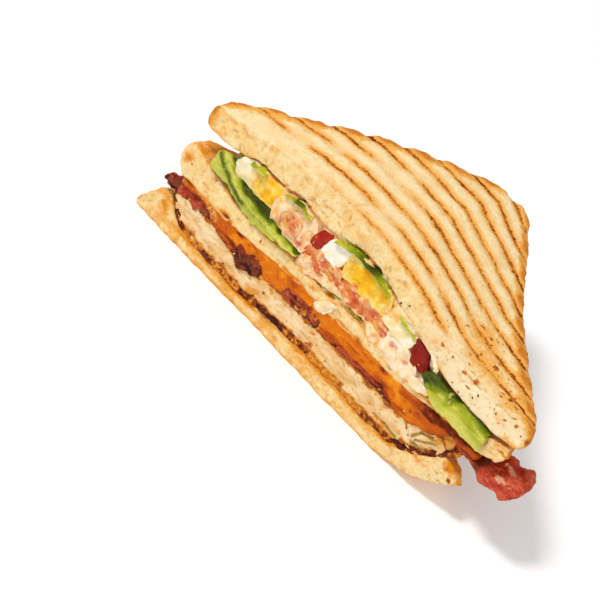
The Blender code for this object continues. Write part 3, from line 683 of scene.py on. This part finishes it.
def plain_toast(node, shift, material, seed, stains, singed, tan=0.0, grilled=0.0):
    """The middle or the bottom slice: crumb at the cut, baked crust on its two legs.

    stains and singed are soft spots of the cut, soaked or scorched. tan is how much browner its cut
    is painted, less towards its far end, grilled how strong the grill marks beneath it are.
    """
    form = toast_base(node, PLAIN_VOXEL)
    p, n = form.co.copy(), form.normals()
    x, y, _ = p.T
    cut = cut_side(n)
    flat = smooth(np.abs(n[:, 2]), 0.5, 0.85)
    low, high = form.band()
    form.push(0.1 + 0.3 * noise(p, 12.0, seed + 1) + 0.2 * noise(p, 3.6, seed + 2))
    # How deep each point lies in a pore, painted as shade below.
    pit = bread_crumb(form, p, cut, seed + 3)
    form.push((1 - cut) * 0.12 * noise(p, 1.4, seed + 4, 2))
    inset = leg_distance(x, y, PLAIN_WIDTH, shift)
    rim = smooth(inset, 3.0, 0.4)
    side = (1 - cut) * (1 - flat)
    ends = cut * smooth(inset + 1.5 * noise(p, 4.0, seed + 5), 4.0, 1.0)
    edges = smooth(np.minimum(low, high) + 0.6 * noise(p, 2.5, seed + 9), 1.3, 0.1)
    mottle = 0.26 * smooth(noise(p, 4.0, seed + 7, 3), 0.0, 0.7)
    golden = flat * (0.34 + 0.5 * rim + 0.2 * noise(p, 9.0, seed + 6))
    golden = golden + side * (0.85 + 0.3 * noise(p, 5.0, seed + 12, 2)) + 0.85 * ends
    form.push(0.5 * smooth(np.abs(x + 6), 60, 67) * noise(p, 1.9, seed + 11, 3))
    form.paint(golden=golden + cut * (tan * smooth(x, 45, 15) + mottle + 0.4 * edges), pit=pit)
    ragged = 0.55 + 0.45 * smooth(noise(p, 1.6, seed + 8, 2), -0.5, 0.4)
    form.paint(stain=blot(p, stains) * smooth(y, 16.0, 5.0) * ragged)
    form.paint(char=blot(p, singed) * smooth(y, 3.0, 0.0) * ragged)
    beneath = smooth(-n[:, 2], 0.5, 0.85)
    form.paint(marks=np.where(beneath > 0.01, (mark_count(x, y) + 1) / MARK_SCALE, BETWEEN_MARKS))
    form.paint(press=grilled * beneath * (0.7 + 0.3 * noise(p, 8.0, seed + 13)))
    form.co[:, 2] = np.maximum(form.co[:, 2], FLOOR_CLEARANCE)
    form.finish("bread", material)


# ------------------------------------------------------------ fillings

def soft_base(node, voxel, grow, rounds=3):
    """A filling without its facets, grown so that it meets its neighbours."""
    form = Form(node + "_fine", [node], voxel)
    form.relax(12, ridge=form.ridges(0.16))
    form.relax(rounds)
    form.push(grow)
    return form


def slab(name, x0, x1, below, above):
    """Filling behind the cut, between two slices and from x0 to x1."""
    under, over = Form(name + "_under", [below], 0.8), Form(name + "_over", [above], 0.8)
    floor, roof = under.edges(), over.edges()
    bm = bmesh.new()
    bmesh.ops.create_cube(bm, size=1.0)
    for place in np.linspace(-0.5, 0.5, 61)[1:-1]:
        geometry = bm.verts[:] + bm.edges[:] + bm.faces[:]
        bmesh.ops.bisect_plane(bm, geom=geometry, dist=1e-6, plane_co=(place, 0, 0),
                               plane_no=(1, 0, 0))
    for vert in bm.verts:
        x = x0 + (vert.co.x + 0.5) * (x1 - x0)
        low, high = np.interp(x, floor[0], floor[2]), np.interp(x, roof[0], roof[1])
        z = low - SLAB_OVERLAP if vert.co.z < 0 else high + SLAB_OVERLAP
        y = cut_plane(z) + (-SLAB_FRONT if vert.co.y < 0 else SLAB_DEPTH)
        vert.co = to_row((x, y, z))
    bpy.data.meshes.remove(under.mesh)
    bpy.data.meshes.remove(over.mesh)
    return Form(name, [], 0.6, rough_bmesh=bm)


def across(p, line):
    """The distance in the cut from a straight line (x0, z0, x1, z1)."""
    x0, z0, x1, z1 = line
    there = p[:, [0, 2]] - (x0, z0)
    run = np.array((x1 - x0, z1 - z0))
    t = np.clip(there @ run / (run @ run), 0, 1)
    return np.linalg.norm(there - t[:, None] * run, axis=1)


def cheese(material):
    """Melted slices: a slumped front that sags over the bacon in places."""
    form = soft_base("cheese", 0.65, 0.35)
    p, n = form.co.copy(), form.normals()
    x, y, _ = p.T
    front = smooth(y, 3.0, -1.0)
    sag = np.clip(noise(p * (1, 0, 0), 5.5, 101, 2) + 0.1, 0, 1) * smooth(x, -50, -44)
    form.co[:, 2] -= front * smooth(-n[:, 2], -0.2, 0.6) * sag * 1.5
    form.push(front * 0.6)
    form.flush(-0.1 + 0.5 * noise(p * (0.8, 0, 1.5), 4.5, 100, 2))
    form.push(0.14 * noise(p, 1.6, 102, 2))
    spots = ((10.5, 23.0, 2.0, 0.7), (22, 22.4, 2.0, 0.6), (43, 24.6, 2.0, 0.6), (36, 19.4, 0.7, 0.7),
             (48, 24.6, 2.2, 0.7), (41, 22.6, 0.6, 0.6), (52, 22.4, 1.0, 0.6), (38.5, 20.4, 0.5, 0.8),
             (57.5, 22.4, 0.8, 0.6), (-8, 18.4, 1.2, 0.5))
    streaks = smooth(noise(p * (0.3, 0, 1.1), 2.4, 103, 3), 0.15, 0.8)
    low, _ = form.band()
    scorched = 0.65 * streaks + 0.5 * smooth(x, 34, 50) * front
    # Darker towards the lower edge of the cut.
    scorched = scorched + 0.45 * smooth(low + 0.8 * noise(p, 3.0, 105, 2), 1.2, 0.0)
    scorched = scorched + 0.35 * smooth(x, -36, -46)
    form.paint(fried=blot(p, spots) + 1.15 * scorched)
    form.paint(pale=smooth(x + 2 * noise(p, 4.0, 104), -47, -53) * 0.9)
    form.finish("cheese", material)


def sauce(material):
    """A ragged film of pan sauce that runs up the curl at one end."""
    form = soft_base("sauce_dark", 0.5, 0.5, rounds=1)
    p = form.co.copy()
    form.push(0.25 * smooth(p[:, 1], 3.0, -1.0))
    form.flush(0.05 + 0.7 * noise(p * (1, 0, 1), 2.0, 110, 3))
    pools = ((-63.5, 4.6, 1.0), (-47, 3.0, 0.9), (-38, 6.0, 0.35), (-29.5, 2.4, 0.9), (-18.5, 6.5, 1.0),
             (-7, 6.0, 0.6), (30, 7.0, 0.55), (40, 5.5, 1.0), (50, 5.0, 0.85))
    form.paint(dark=np.max([depth * smooth(np.abs(p[:, 0] - middle), half + 1.8, half - 1.8)
                               for middle, half, depth in pools], axis=0))
    form.finish("sauce", material)


def chicken(node, seed, crumbly, seams, material):
    """Breaded chicken. crumbly is how far its coating shows; seams are skin folds with painted shade."""
    form = soft_base(node, 0.5, 0.1)
    form.swell(0.6, 1.9)
    p = form.co.copy()
    low, high = form.band()
    front = smooth(p[:, 1], 1.0, -2.5)
    torn = noise(p * (0.6, 0, 1.3), 2.4, seed, 3)
    form.flush(0.15 + (0.4 + 0.5 * crumbly) * torn)
    edge = np.minimum(low * 0.8, high) + 0.8 * noise(p, 2.4, seed + 4, 3)
    skin = np.maximum(smooth(edge, 1.5, 0.1), (1 - front) * 0.7)
    skin = np.maximum(skin, crumbly * (0.35 + 0.6 * noise(p, 3.0, seed + 3, 2)))
    form.push(skin * 0.4 * smooth(noise(p, 1.3, seed + 1, 2), -0.1, 0.7))
    crease = np.zeros(len(p))
    for line in seams:
        away = across(p, line) + 0.25 * noise(p, 2.0, seed + 2)
        crease = np.maximum(crease, np.exp(-(away / 0.55) ** 2))
    crease = crease * front
    form.push(-0.35 * crease)
    # The folds are pressed in and painted darker as shade.
    form.paint(crumb=skin, seam=0.9 * crease)
    form.finish("chicken", material)


def breading(material):
    """Fried coating that fills the room round the meat, from slice to slice."""
    form = slab("chicken_coating", -65.5, 53.0, "toast_bottom", "toast_middle")
    p = form.co.copy()
    form.flush(1.0 + 0.8 * noise(p * (0.7, 0, 1.2), 2.4, 240, 3))
    form.push(0.3 * smooth(noise(p, 1.3, 241, 2), -0.1, 0.7))
    form.paint(crumb=0.55 + 0.5 * noise(p, 2.6, 242, 2))
    form.finish("chicken", material)


def dressing(name, x0, x1, seed, level, material):
    """Dressing smeared round the upper filling. level is how far back its face stands."""
    form = slab(name, x0, x1, "toast_middle", "toast_top")
    p = form.co.copy()
    form.flush(level + 1.1 * noise(p * (0.8, 0, 1.1), 2.3, seed, 3))
    form.push(0.12 * noise(p, 1.2, seed + 1, 2))
    form.paint(pink=0.15 + 0.45 * noise(p, 3.2, seed + 2, 2))
    form.finish("mayonnaise", material)


def bacon(node, seed, char, material, ruffle=0.8, grow=0.45):
    """A rasher: ruffled, with fatty ridges along it and curled, torn edges.

    char is how burnt it is, ruffle how uneven its front is, grow how far it swells.
    """
    form = soft_base(node, 0.44, grow)
    p = form.co.copy()
    front = smooth(p[:, 1], 6.0, -1.0)
    ragged = noise(p * (1, 0, 1), 2.0, seed, 3)
    form.co[:, 2] += front * ruffle * (0.7 * noise(p * (1, 0.6, 0), 2.6, seed + 1, 2))
    streak = noise(p * (0.3, 0, 1.5), 1.7, seed + 6, 3)
    form.flush(-0.3 + ruffle * (0.6 * ragged + 0.8 * streak))
    form.push(0.28 * noise(p, 1.2, seed + 2, 2))
    fat = smooth(noise(p * (0.35, 1, 1), 2.2, seed + 3, 2), 0.5, 0.8)
    form.paint(fat=0.4 * fat * (1 - char))
    singed = char * (0.6 + 0.5 * smooth(noise(p, 2.0, seed + 4), -0.3, 0.4))
    form.paint(char=singed + 0.5 * smooth(streak, 0.1, 0.7) * front)
    form.finish("bacon", material)


def bacon_tip(material):
    """The rasher's free end: a thick, wavy, marbled tongue with a torn tip."""
    form = Form("bacon_tip_fine", ["bacon_tip"], 0.4)
    form.relax(10)
    p = form.co.copy()
    x, y, _ = p.T
    free = smooth(x, 58, 66)
    form.push(0.5 + 0.5 * noise(p, 3.0, 150, 2) * free + 0.25 * noise(p, 1.2, 151, 2))
    form.co[:, 2] += free * 0.7 * np.sin(0.75 * x + 0.25 * y)
    form.co[:, 1] += 2.5 * (1 - free)
    # Painted highlights: cream flecks at listed places on the tip; the streaks after them are marbling.
    flecks = ((74, 0.0, 25.6, 1.5), (75, 4.0, 27.4, 0.9), (71.5, 1.0, 25.0, 0.7), (68, 5.0, 24.4, 0.8))
    fat = np.zeros(len(p))
    for at_x, at_y, at_z, half in flecks:
        away = np.linalg.norm((p - (at_x, at_y, at_z)) / (half * 1.6, half, half), axis=1)
        fat = np.maximum(fat, smooth(away + 0.4 * noise(p, 1.2, 152), 1.3, 0.6))
    streak = smooth(noise(p * (0.4, 1, 1), 2.0, 153, 2), 0.5, 0.85) * 0.5
    form.paint(fat=np.maximum(fat, streak))
    dark = smooth(noise(p, 4.0, 154, 2), 0.2, 0.7) * 0.3 + blot(p, ((62, 22.3, 2.0, 1.6),)) * 0.8
    form.paint(char=dark)
    form.finish("bacon", material)


def leaf(node, seed, crinkle, ribs, shade, material, frill=0.0, hem=((0,), (90,)), reach=1.0,
         least=((0,), (0,)), pale=0.0, droop=0.0):
    """A crinkled leaf. ribs are pale lines (x0, z0, x1, z1, half width) of its hanging part.

    shade lists its soft spots of painted shadow. hem is its pale lower part's upper edge, as places
    and heights; painted shade darkens it within reach above. least is how low it hangs over the
    cut, as places and heights. pale is how light it is below the hem. droop is how far a leaf that
    ends at the cut bends down there. frill is how wavy its hanging edge is.
    """
    form = Form(node + "_fine", [node], 0.0, levels=2)
    p = form.co.copy()
    x, y, z = p.T
    wave = crinkle * noise(p, 4.5, seed, 2)
    form.co += wave[:, None] * np.array((0.0, -0.7, 0.8)) + 0.45 * np.stack(
        [noise(p, 2.2, seed + 5 + k, 2) for k in range(3)], axis=1)
    hanging = smooth(z, 30.5, 27.0) * smooth(y, 2.0, -1.0)
    form.co[:, 2] -= frill * hanging * (0.6 + noise(p * (1, 0, 0), 1.8, seed + 9, 2))
    bent = droop * smooth(y, 3.0, -1.5)
    form.co -= bent[:, None] * np.array((0.0, 1.5, 0.8))
    short = np.interp(x, *least) + 0.5 * noise(p, 2.0, seed + 14, 2) - form.co[:, 2]
    form.co[:, 2] += 0.85 * np.maximum(short, 0) * smooth(y, 3.0, 0.0)
    form.push(-0.17)
    rib = np.zeros(len(p))
    for line in ribs:
        rib = np.maximum(rib, smooth(across(p, line[:4]), line[4] * 1.6, line[4] * 0.5))
    rib = rib * smooth(y, 6.0, 2.0)
    form.push(0.45 * rib)
    # Painted shade: darker in the folds, in the listed spots of shadow, and within reach above the hem.
    fold = smooth(-wave / max(crinkle, 0.1), 0.1, 0.8) * 0.3
    above = z + 0.6 * noise(p, 4.0, seed + 12) - np.interp(x, *hem)
    shaded = blot(p, shade)
    # Ribs and the part below the hem are paler, except where shadow is painted.
    form.paint(rib=np.maximum(rib * 0.8, pale * smooth(-above, 0.0, 3.0)) * (1 - shaded))
    form.paint(deep=np.maximum(fold, shaded) + smooth(above, 0.0, reach))
    form.finish("lettuce", material)


def moist(node, slot, seed, material, rise=0.0, relief=0.4, lean=0.0, grow=0.8, along=None, warp=0.4,
          square=0.0, flat=True, **paint):
    """An egg, tomato or dressing piece, cut off flat by the knife and smeared a little.

    rise is how far its cut stands back, lean how far its top is pushed along per millimetre, and
    along how much longer it gets at each end. warp is how uneven its outline is, square how far
    its corners are drawn out. flat is False for a piece that the knife missed. What is left
    names what is painted on it, each worked out from its points.
    """
    form = soft_base(node, 0.5 if flat else 0.7, 0.0 if flat else grow)
    if flat:
        form.swell(grow, along)
        form.co[:, 1] -= 1.6 * smooth(form.co[:, 1] - cut_plane(form.co[:, 2]), 3.5, 1.0)
        form.draw_corners(square)
    p = form.co.copy()
    middle = (p[:, 2].min() + p[:, 2].max()) / 2
    form.co[:, 0] += lean * (p[:, 2] - middle)
    form.co += warp * np.stack([noise(p, 2.6, seed + 3 * k, 3) for k in (1, 0, 2)], axis=1)
    form.flush(rise + relief * noise(p * (1, 0, 1), 2.6, seed, 3))
    form.push(0.1 * noise(p, 1.1, seed + 2, 2))
    form.paint(**{name: values(p) for name, values in paint.items()})
    form.finish(slot, material)


def drip(name, path, material):
    """A run of dressing over the cut, through (x, z, radius) places."""
    bm = bmesh.new()
    for (x0, z0, r0), (x1, z1, r1) in zip(path, path[1:]):
        for t in np.linspace(0, 1, DRIP_STEPS):
            x, z, r = x0 + (x1 - x0) * t, z0 + (z1 - z0) * t, r0 + (r1 - r0) * t
            place = Matrix.Translation(to_row((x, cut_plane(z) - 0.1, z)))
            size = Matrix.Diagonal((r * MM, r * DRIP_FLATNESS * MM, r * MM, 1.0))
            bmesh.ops.create_icosphere(bm, subdivisions=3, radius=1.0, matrix=place @ size)
    form = Form(name, [], 0.3, rough_bmesh=bm)
    form.relax(8)
    form.push(0.55 * noise(form.co, 1.8, 500, 3) + 0.1 * noise(form.co, 0.8, 501))
    form.finish("mayonnaise", material)


def crumbs(material):
    """Crumbs and flecks that fell on the cut while it was sliced."""
    graph = bpy.context.evaluated_depsgraph_get()
    random = np.random.default_rng(7)
    bm = bmesh.new()
    for x0, x1, z0, z1, number in ((-70, 66, 4, 48, 30), (30, 66, 34, 44, 30), (34, 58, 6, 20, 12)):
        for _ in range(number):
            x, z = random.uniform(x0, x1), random.uniform(z0, z1)
            start = to_row((x, -CRUMB_START, z))
            hit, place, *_ = bpy.context.scene.ray_cast(graph, start, Vector((0, 1, 0)))
            if not hit or place.y > start.y + CRUMB_REACH * MM:
                continue
            size = random.uniform(0.12, 0.36) * MM
            angle, axis = random.uniform(0, 6.28), Vector(random.normal(size=3)).normalized()
            long, thick = random.uniform(0.8, 1.6), random.uniform(0.6, 1.1)
            shape = Matrix.Diagonal((size * long, size, size * thick, 1))
            shape = Matrix.Translation(place) @ Matrix.Rotation(angle, 4, axis) @ shape
            made = bmesh.ops.create_icosphere(bm, subdivisions=2, radius=1.0, matrix=shape)
            for vert in made["verts"]:
                vert.co += Vector(random.normal(size=3)) * size * 0.16
    form = Form("crumbs", [], 0.0, rough_bmesh=bm)
    p = form.co
    form.paint(golden=0.55 + 0.5 * noise(p, 1.5, 510))
    form.paint(char=0.9 * smooth(noise(p, 2.5, 511), 0.25, 0.5))
    form.paint(marks=np.full(len(p), BETWEEN_MARKS))
    form.finish("bread", material)


# ------------------------------------------------------------ building the food

def build():
    bread = bread_finish()
    toast_top(bread)
    plain_toast("toast_middle", MIDDLE_SHIFT, bread, 60,
                ((-64.0, 32.0, 7.5, 3.4), (-69, 27, 2.0, 3.0), (-57.8, 27.6, 1.6, 1.0),
                 (-49, 21.3, 3.0, 1.2), (-20, 22.8, 9.0, 0.8), (8, 23.4, 14.0, 0.7),
                 (40, 26.2, 16.0, 0.9), (-6, 27.2, 3.0, 0.8), (-12, 24.8, 2.5, 1.2),
                 (66, 31.8, 3.0, 0.6), (68.6, 28.0, 0.6, 3.0)),
                ((-57.4, 27.3, 1.2, 0.7), (-48, 21.0, 2.2, 0.8), (38, 27.8, 1.0, 0.5),
                 (42.5, 28.6, 1.6, 0.6), (-34, 23.4, 0.5, 0.9), (21, 27.0, 0.8, 0.5),
                 (14, 25.6, 0.7, 0.5), (26, 28.0, 1.4, 0.4)))
    plain_toast("toast_bottom", BOTTOM_SHIFT, bread, 80,
                ((-68, 8.0, 2.5, 3.0), (-56, 4.4, 9.0, 0.9), (-30, 4.1, 14.0, 0.8),
                 (5, 5.9, 16.0, 0.9), (32, 5.8, 10.0, 0.9), (46, 9.8, 5.0, 1.2), (56, 15.0, 3.0, 3.0)),
                ((58, 12.0, 1.2, 1.0), (-76, 6.5, 0.8, 0.8)), tan=0.2, grilled=0.8)
    cheese(cheese_finish())
    sauce(sauce_finish())

    meat = chicken_finish()
    chicken("chicken_end", 200, 0.0, (), meat)
    chicken("chicken_broken", 210, 0.75, (), meat)
    chicken("chicken_long", 220, 0.0, ((27, 9.4, 36.5, 9.2),), meat)
    chicken("chicken_tip", 230, 0.1, ((42.0, 13.4, 48.0, 17.2), (40.6, 13.6, 42.6, 16.8),
                                      (42.6, 16.8, 49.0, 19.0), (41.4, 11.8, 45.6, 12.6),
                                      (45.6, 12.6, 49.6, 16.0)), meat)
    breading(meat)

    red = bacon_finish()
    bacon("bacon_end", 120, 0.5, red, ruffle=2.0)
    bacon("bacon_charred", 125, 0.8, red, ruffle=1.6)
    bacon("bacon_middle", 130, 0.45, red, ruffle=1.5)
    bacon("bacon_thin", 135, 0.35, red, ruffle=0.8, grow=-0.15)
    bacon_tip(red)

    green = lettuce_finish()
    # A chain of soft spots of painted shadow beside the left leaf's rib.
    painted_shade_line = [(x, np.interp(x, (-60, -52, -46), (36.0, 30.8, 29.0)), 0.9, 0.8)
             for x in np.arange(-60, -45.5, 0.6)]
    leaf("lettuce_left", 300, 0.8, ((-58, 36.6, -52, 32.2, 0.4), (-52, 32.2, -46, 30.2, 0.4),
                                    (-46, 30.2, -24, 28.8, 0.3)),
         painted_shade_line, green, frill=0.2,
         hem=((-62, -58, -52, -47, -31, -24), (40, 37.6, 32.8, 30.8, 29.4, 29.0)), reach=2.0,
         least=((-60, -54, -44, -34, -22), (30.0, 27.2, 26.0, 26.2, 27.0)), pale=0.45)
    leaf("lettuce_right", 310, 1.0, ((43, 35.0, 45, 32.0, 0.3),),
         ((34, 32.0, 2.0, 2.4),), green, frill=0.5,
         hem=((34, 40, 46, 52, 61), (29, 30.5, 31.5, 31.5, 30.5)), reach=4.5,
         least=((33, 40, 51, 63), (29.6, 28.2, 27.8, 27.0)), pale=0.7)
    leaf("lettuce_sliver", 320, 0.5, (), (), green)
    leaf("lettuce_back", 330, 0.8, (), (), green)
    # The upper leaves' spots are painted shadow along their upper edge.
    for number, seed, droop in ((1, 340, 1.4), (2, 350, 1.5), (3, 360, 1.7), (4, 370, 1.15)):
        leaf("lettuce_upper_%d" % number, seed, 0.3, (), ((-30, 44.2, 5, 0.8), (2, 45.6, 10, 0.9)), green,
             droop=droop)

    white, yolk = egg_white_finish(), egg_yolk_finish()
    moist("egg_white_left", "egg_white", 400, white, rise=0.5, relief=0.35, grow=0.9, along=1.8,
          square=0.4, yolky=lambda p: 0.3 + smooth(p[:, 0], -50, -45) * 0.6)
    moist("egg_white_right", "egg_white", 405, white, rise=-0.1, relief=0.16, lean=0.3, warp=0.15,
          yolky=lambda p: (smooth(p[:, 0], 10, 15) * (0.4 + 0.35 * noise(p, 2.4, 484, 2))
                           + smooth(np.abs(p[:, 0] - 3.2), 11.5, 9.5) * 0.6))
    moist("egg_yolk_left", "egg_yolk", 410, yolk, rise=0.3, relief=0.5, along=2.0, square=0.5,
          smeared=rim_of_cut)
    moist("egg_yolk_right", "egg_yolk", 415, yolk, relief=0.5, smeared=rim_of_cut)

    pink = tomato_finish("tomato_flesh", (194, 62, 28), (230, 136, 76), (248, 206, 146), 0.48)
    ripe = tomato_finish("tomato_ripe", (146, 12, 2), (178, 44, 6), (196, 66, 24), 0.75)
    deep = tomato_finish("tomato_deep", (118, 8, 2), (146, 26, 4), (178, 50, 14), 0.75)
    for number, node in enumerate(("tomato_slice_left", "tomato_slice_right", "tomato_slice_corner",
                                   "tomato_slice_back")):
        moist(node, "tomato", 420 + 5 * number, pink, relief=0.6, flat=number < 2,
              dressed=lambda p: 0.22 + 0.5 * noise(p, 3.6, 480, 2))
    moist("tomato_red_left", "tomato", 440, ripe, rise=-0.2, relief=0.3, lean=0.3, grow=0.6, along=0.1,
          warp=0.15, square=0.6)
    moist("tomato_red_right", "tomato", 445, deep, rise=-0.1, relief=0.3, lean=-0.25, grow=0.2, along=0.6,
          warp=0.15, square=0.6)
    moist("tomato_dice_left", "tomato", 450, pink, rise=-0.1, relief=0.4, grow=1.7, warp=0.7,
          dressed=lambda p: 0.85 - 0.85 * blot(p, ((-29, 35, 3.4, 3.0),)))

    rosy = mayonnaise_finish("mayonnaise_rosy", (251, 222, 176), (240, 180, 112),
                             (228, 146, 88))
    pale = mayonnaise_finish("mayonnaise_pale", (252, 234, 202), (248, 214, 162),
                             (242, 190, 132))
    moist("mayonnaise_left", "mayonnaise", 460, rosy, relief=0.6, along=1.8,
          pink=lambda p: (blot(p, ((-29, 34.8, 4.2, 3.2), (-23, 32, 2, 1.5))) * 0.8
                          + 0.2 * noise(p, 3.0, 483, 2)))
    moist("mayonnaise_under", "mayonnaise", 465, rosy, rise=-0.1, relief=0.7,
          pink=lambda p: 0.35 * noise(p, 3.0, 482))
    moist("mayonnaise_right", "mayonnaise", 470, pale, rise=-0.3, relief=0.7, grow=1.2, along=1.6,
          pink=lambda p: blot(p, ((20, 31.0, 3.0, 1.4), (26, 30, 2, 1))) * 0.6)
    moist("mayonnaise_strip", "mayonnaise", 475, pale, rise=-0.5, relief=0.4)
    dressing("dressing_left", -37.0, 17.0, 520, 1.1, rosy)
    dressing("dressing_right", 15.0, 35.0, 530, 0.7, pale)
    drip("dressing_run_middle", ((-1.5, 26.2, 0.8), (-3.4, 24.6, 1.6), (-5.0, 22.9, 2.1),
                                 (-7.0, 22.2, 1.4)), pale)
    drip("dressing_run_top", ((32.5, 38.4, 1.0), (34.5, 36.6, 1.1), (36.0, 34.6, 0.9), (36.4, 33.8, 1.1)),
         pale)
    crumbs(bread)


# ------------------------------------------------------------ floor, light and camera

CAMERA_AZIMUTH = 26.015
CAMERA_ELEVATION = 35.532
CAMERA_ROLL = 30.090
CAMERA_TARGET = (-15.684, 3.555, 14.106)
CAMERA_DISTANCE = 900.0
CAMERA_LENS = 180.664
CAMERA_FRAME = 36.0
LIGHT_TARGET = Vector((0, 0, 0.02))
SKY_STRENGTH = 0.52
FLOOR_HALF_WIDTH = 3.0
FLOOR_MOTTLE = 400.0
FLOOR_GLOW = 0.12


def camera():
    """It looks along +Y at azimuth 0, downwards by its elevation, and is then rolled."""
    data = bpy.data.cameras.new("camera")
    data.lens = CAMERA_LENS
    data.sensor_width = CAMERA_FRAME
    data.clip_end = 10.0
    turn = Matrix.Identity(3)
    for angle, axis in ((CAMERA_AZIMUTH, "Z"), (90 - CAMERA_ELEVATION, "X"), (CAMERA_ROLL, "Z")):
        turn = turn @ Matrix.Rotation(math.radians(angle), 3, axis)
    place = to_row(CAMERA_TARGET) + turn @ Vector((0, 0, CAMERA_DISTANCE * MM))
    bpy.context.scene.camera = add_object("camera", data)
    bpy.context.scene.camera.matrix_world = Matrix.Translation(place) @ turn.to_4x4()


def area_light(name, place, size, power, colour=(1, 1, 1)):
    """A round lamp, aimed at the sandwich."""
    data = bpy.data.lights.new(name, "AREA")
    data.shape = "DISK"
    data.size = size
    data.energy = power
    data.color = colour
    lamp = add_object(name, data)
    lamp.location = place
    lamp.rotation_euler = (LIGHT_TARGET - Vector(place)).to_track_quat("-Z", "Y").to_euler()


def studio():
    scene = bpy.context.scene
    scene.world = bpy.data.worlds.new("studio")
    scene.world.use_nodes = True
    sky = scene.world.node_tree.nodes["Background"].inputs
    sky["Color"].default_value = (1.0, 1.0, 1.0, 1.0)
    sky["Strength"].default_value = SKY_STRENGTH
    scene.view_settings.view_transform = "Standard"
    scene.view_settings.look = "None"
    area_light("key", (-0.45, -0.50, 1.15), size=0.3, power=9.5, colour=(1.0, 0.985, 0.96))
    area_light("fill", (0.9, -0.4, 0.7), size=0.8, power=2.0)

    bm = bmesh.new()
    bmesh.ops.create_grid(bm, x_segments=2, y_segments=2, size=FLOOR_HALF_WIDTH)
    mesh = bpy.data.meshes.new("floor")
    bm.to_mesh(mesh)
    bm.free()
    floor = add_object("floor", mesh)
    f = Finish("floor", 0.6)
    f.colour = f.mix(f.noise(FLOOR_MOTTLE, 2), (247, 247, 248.2), (250.5, 250.5, 250.5))
    f.shader.inputs["Emission Color"].default_value = (1.0, 1.0, 1.0, 1.0)
    f.shader.inputs["Emission Strength"].default_value = FLOOR_GLOW
    mesh.materials.append(f.finished())


build()
studio()
camera()
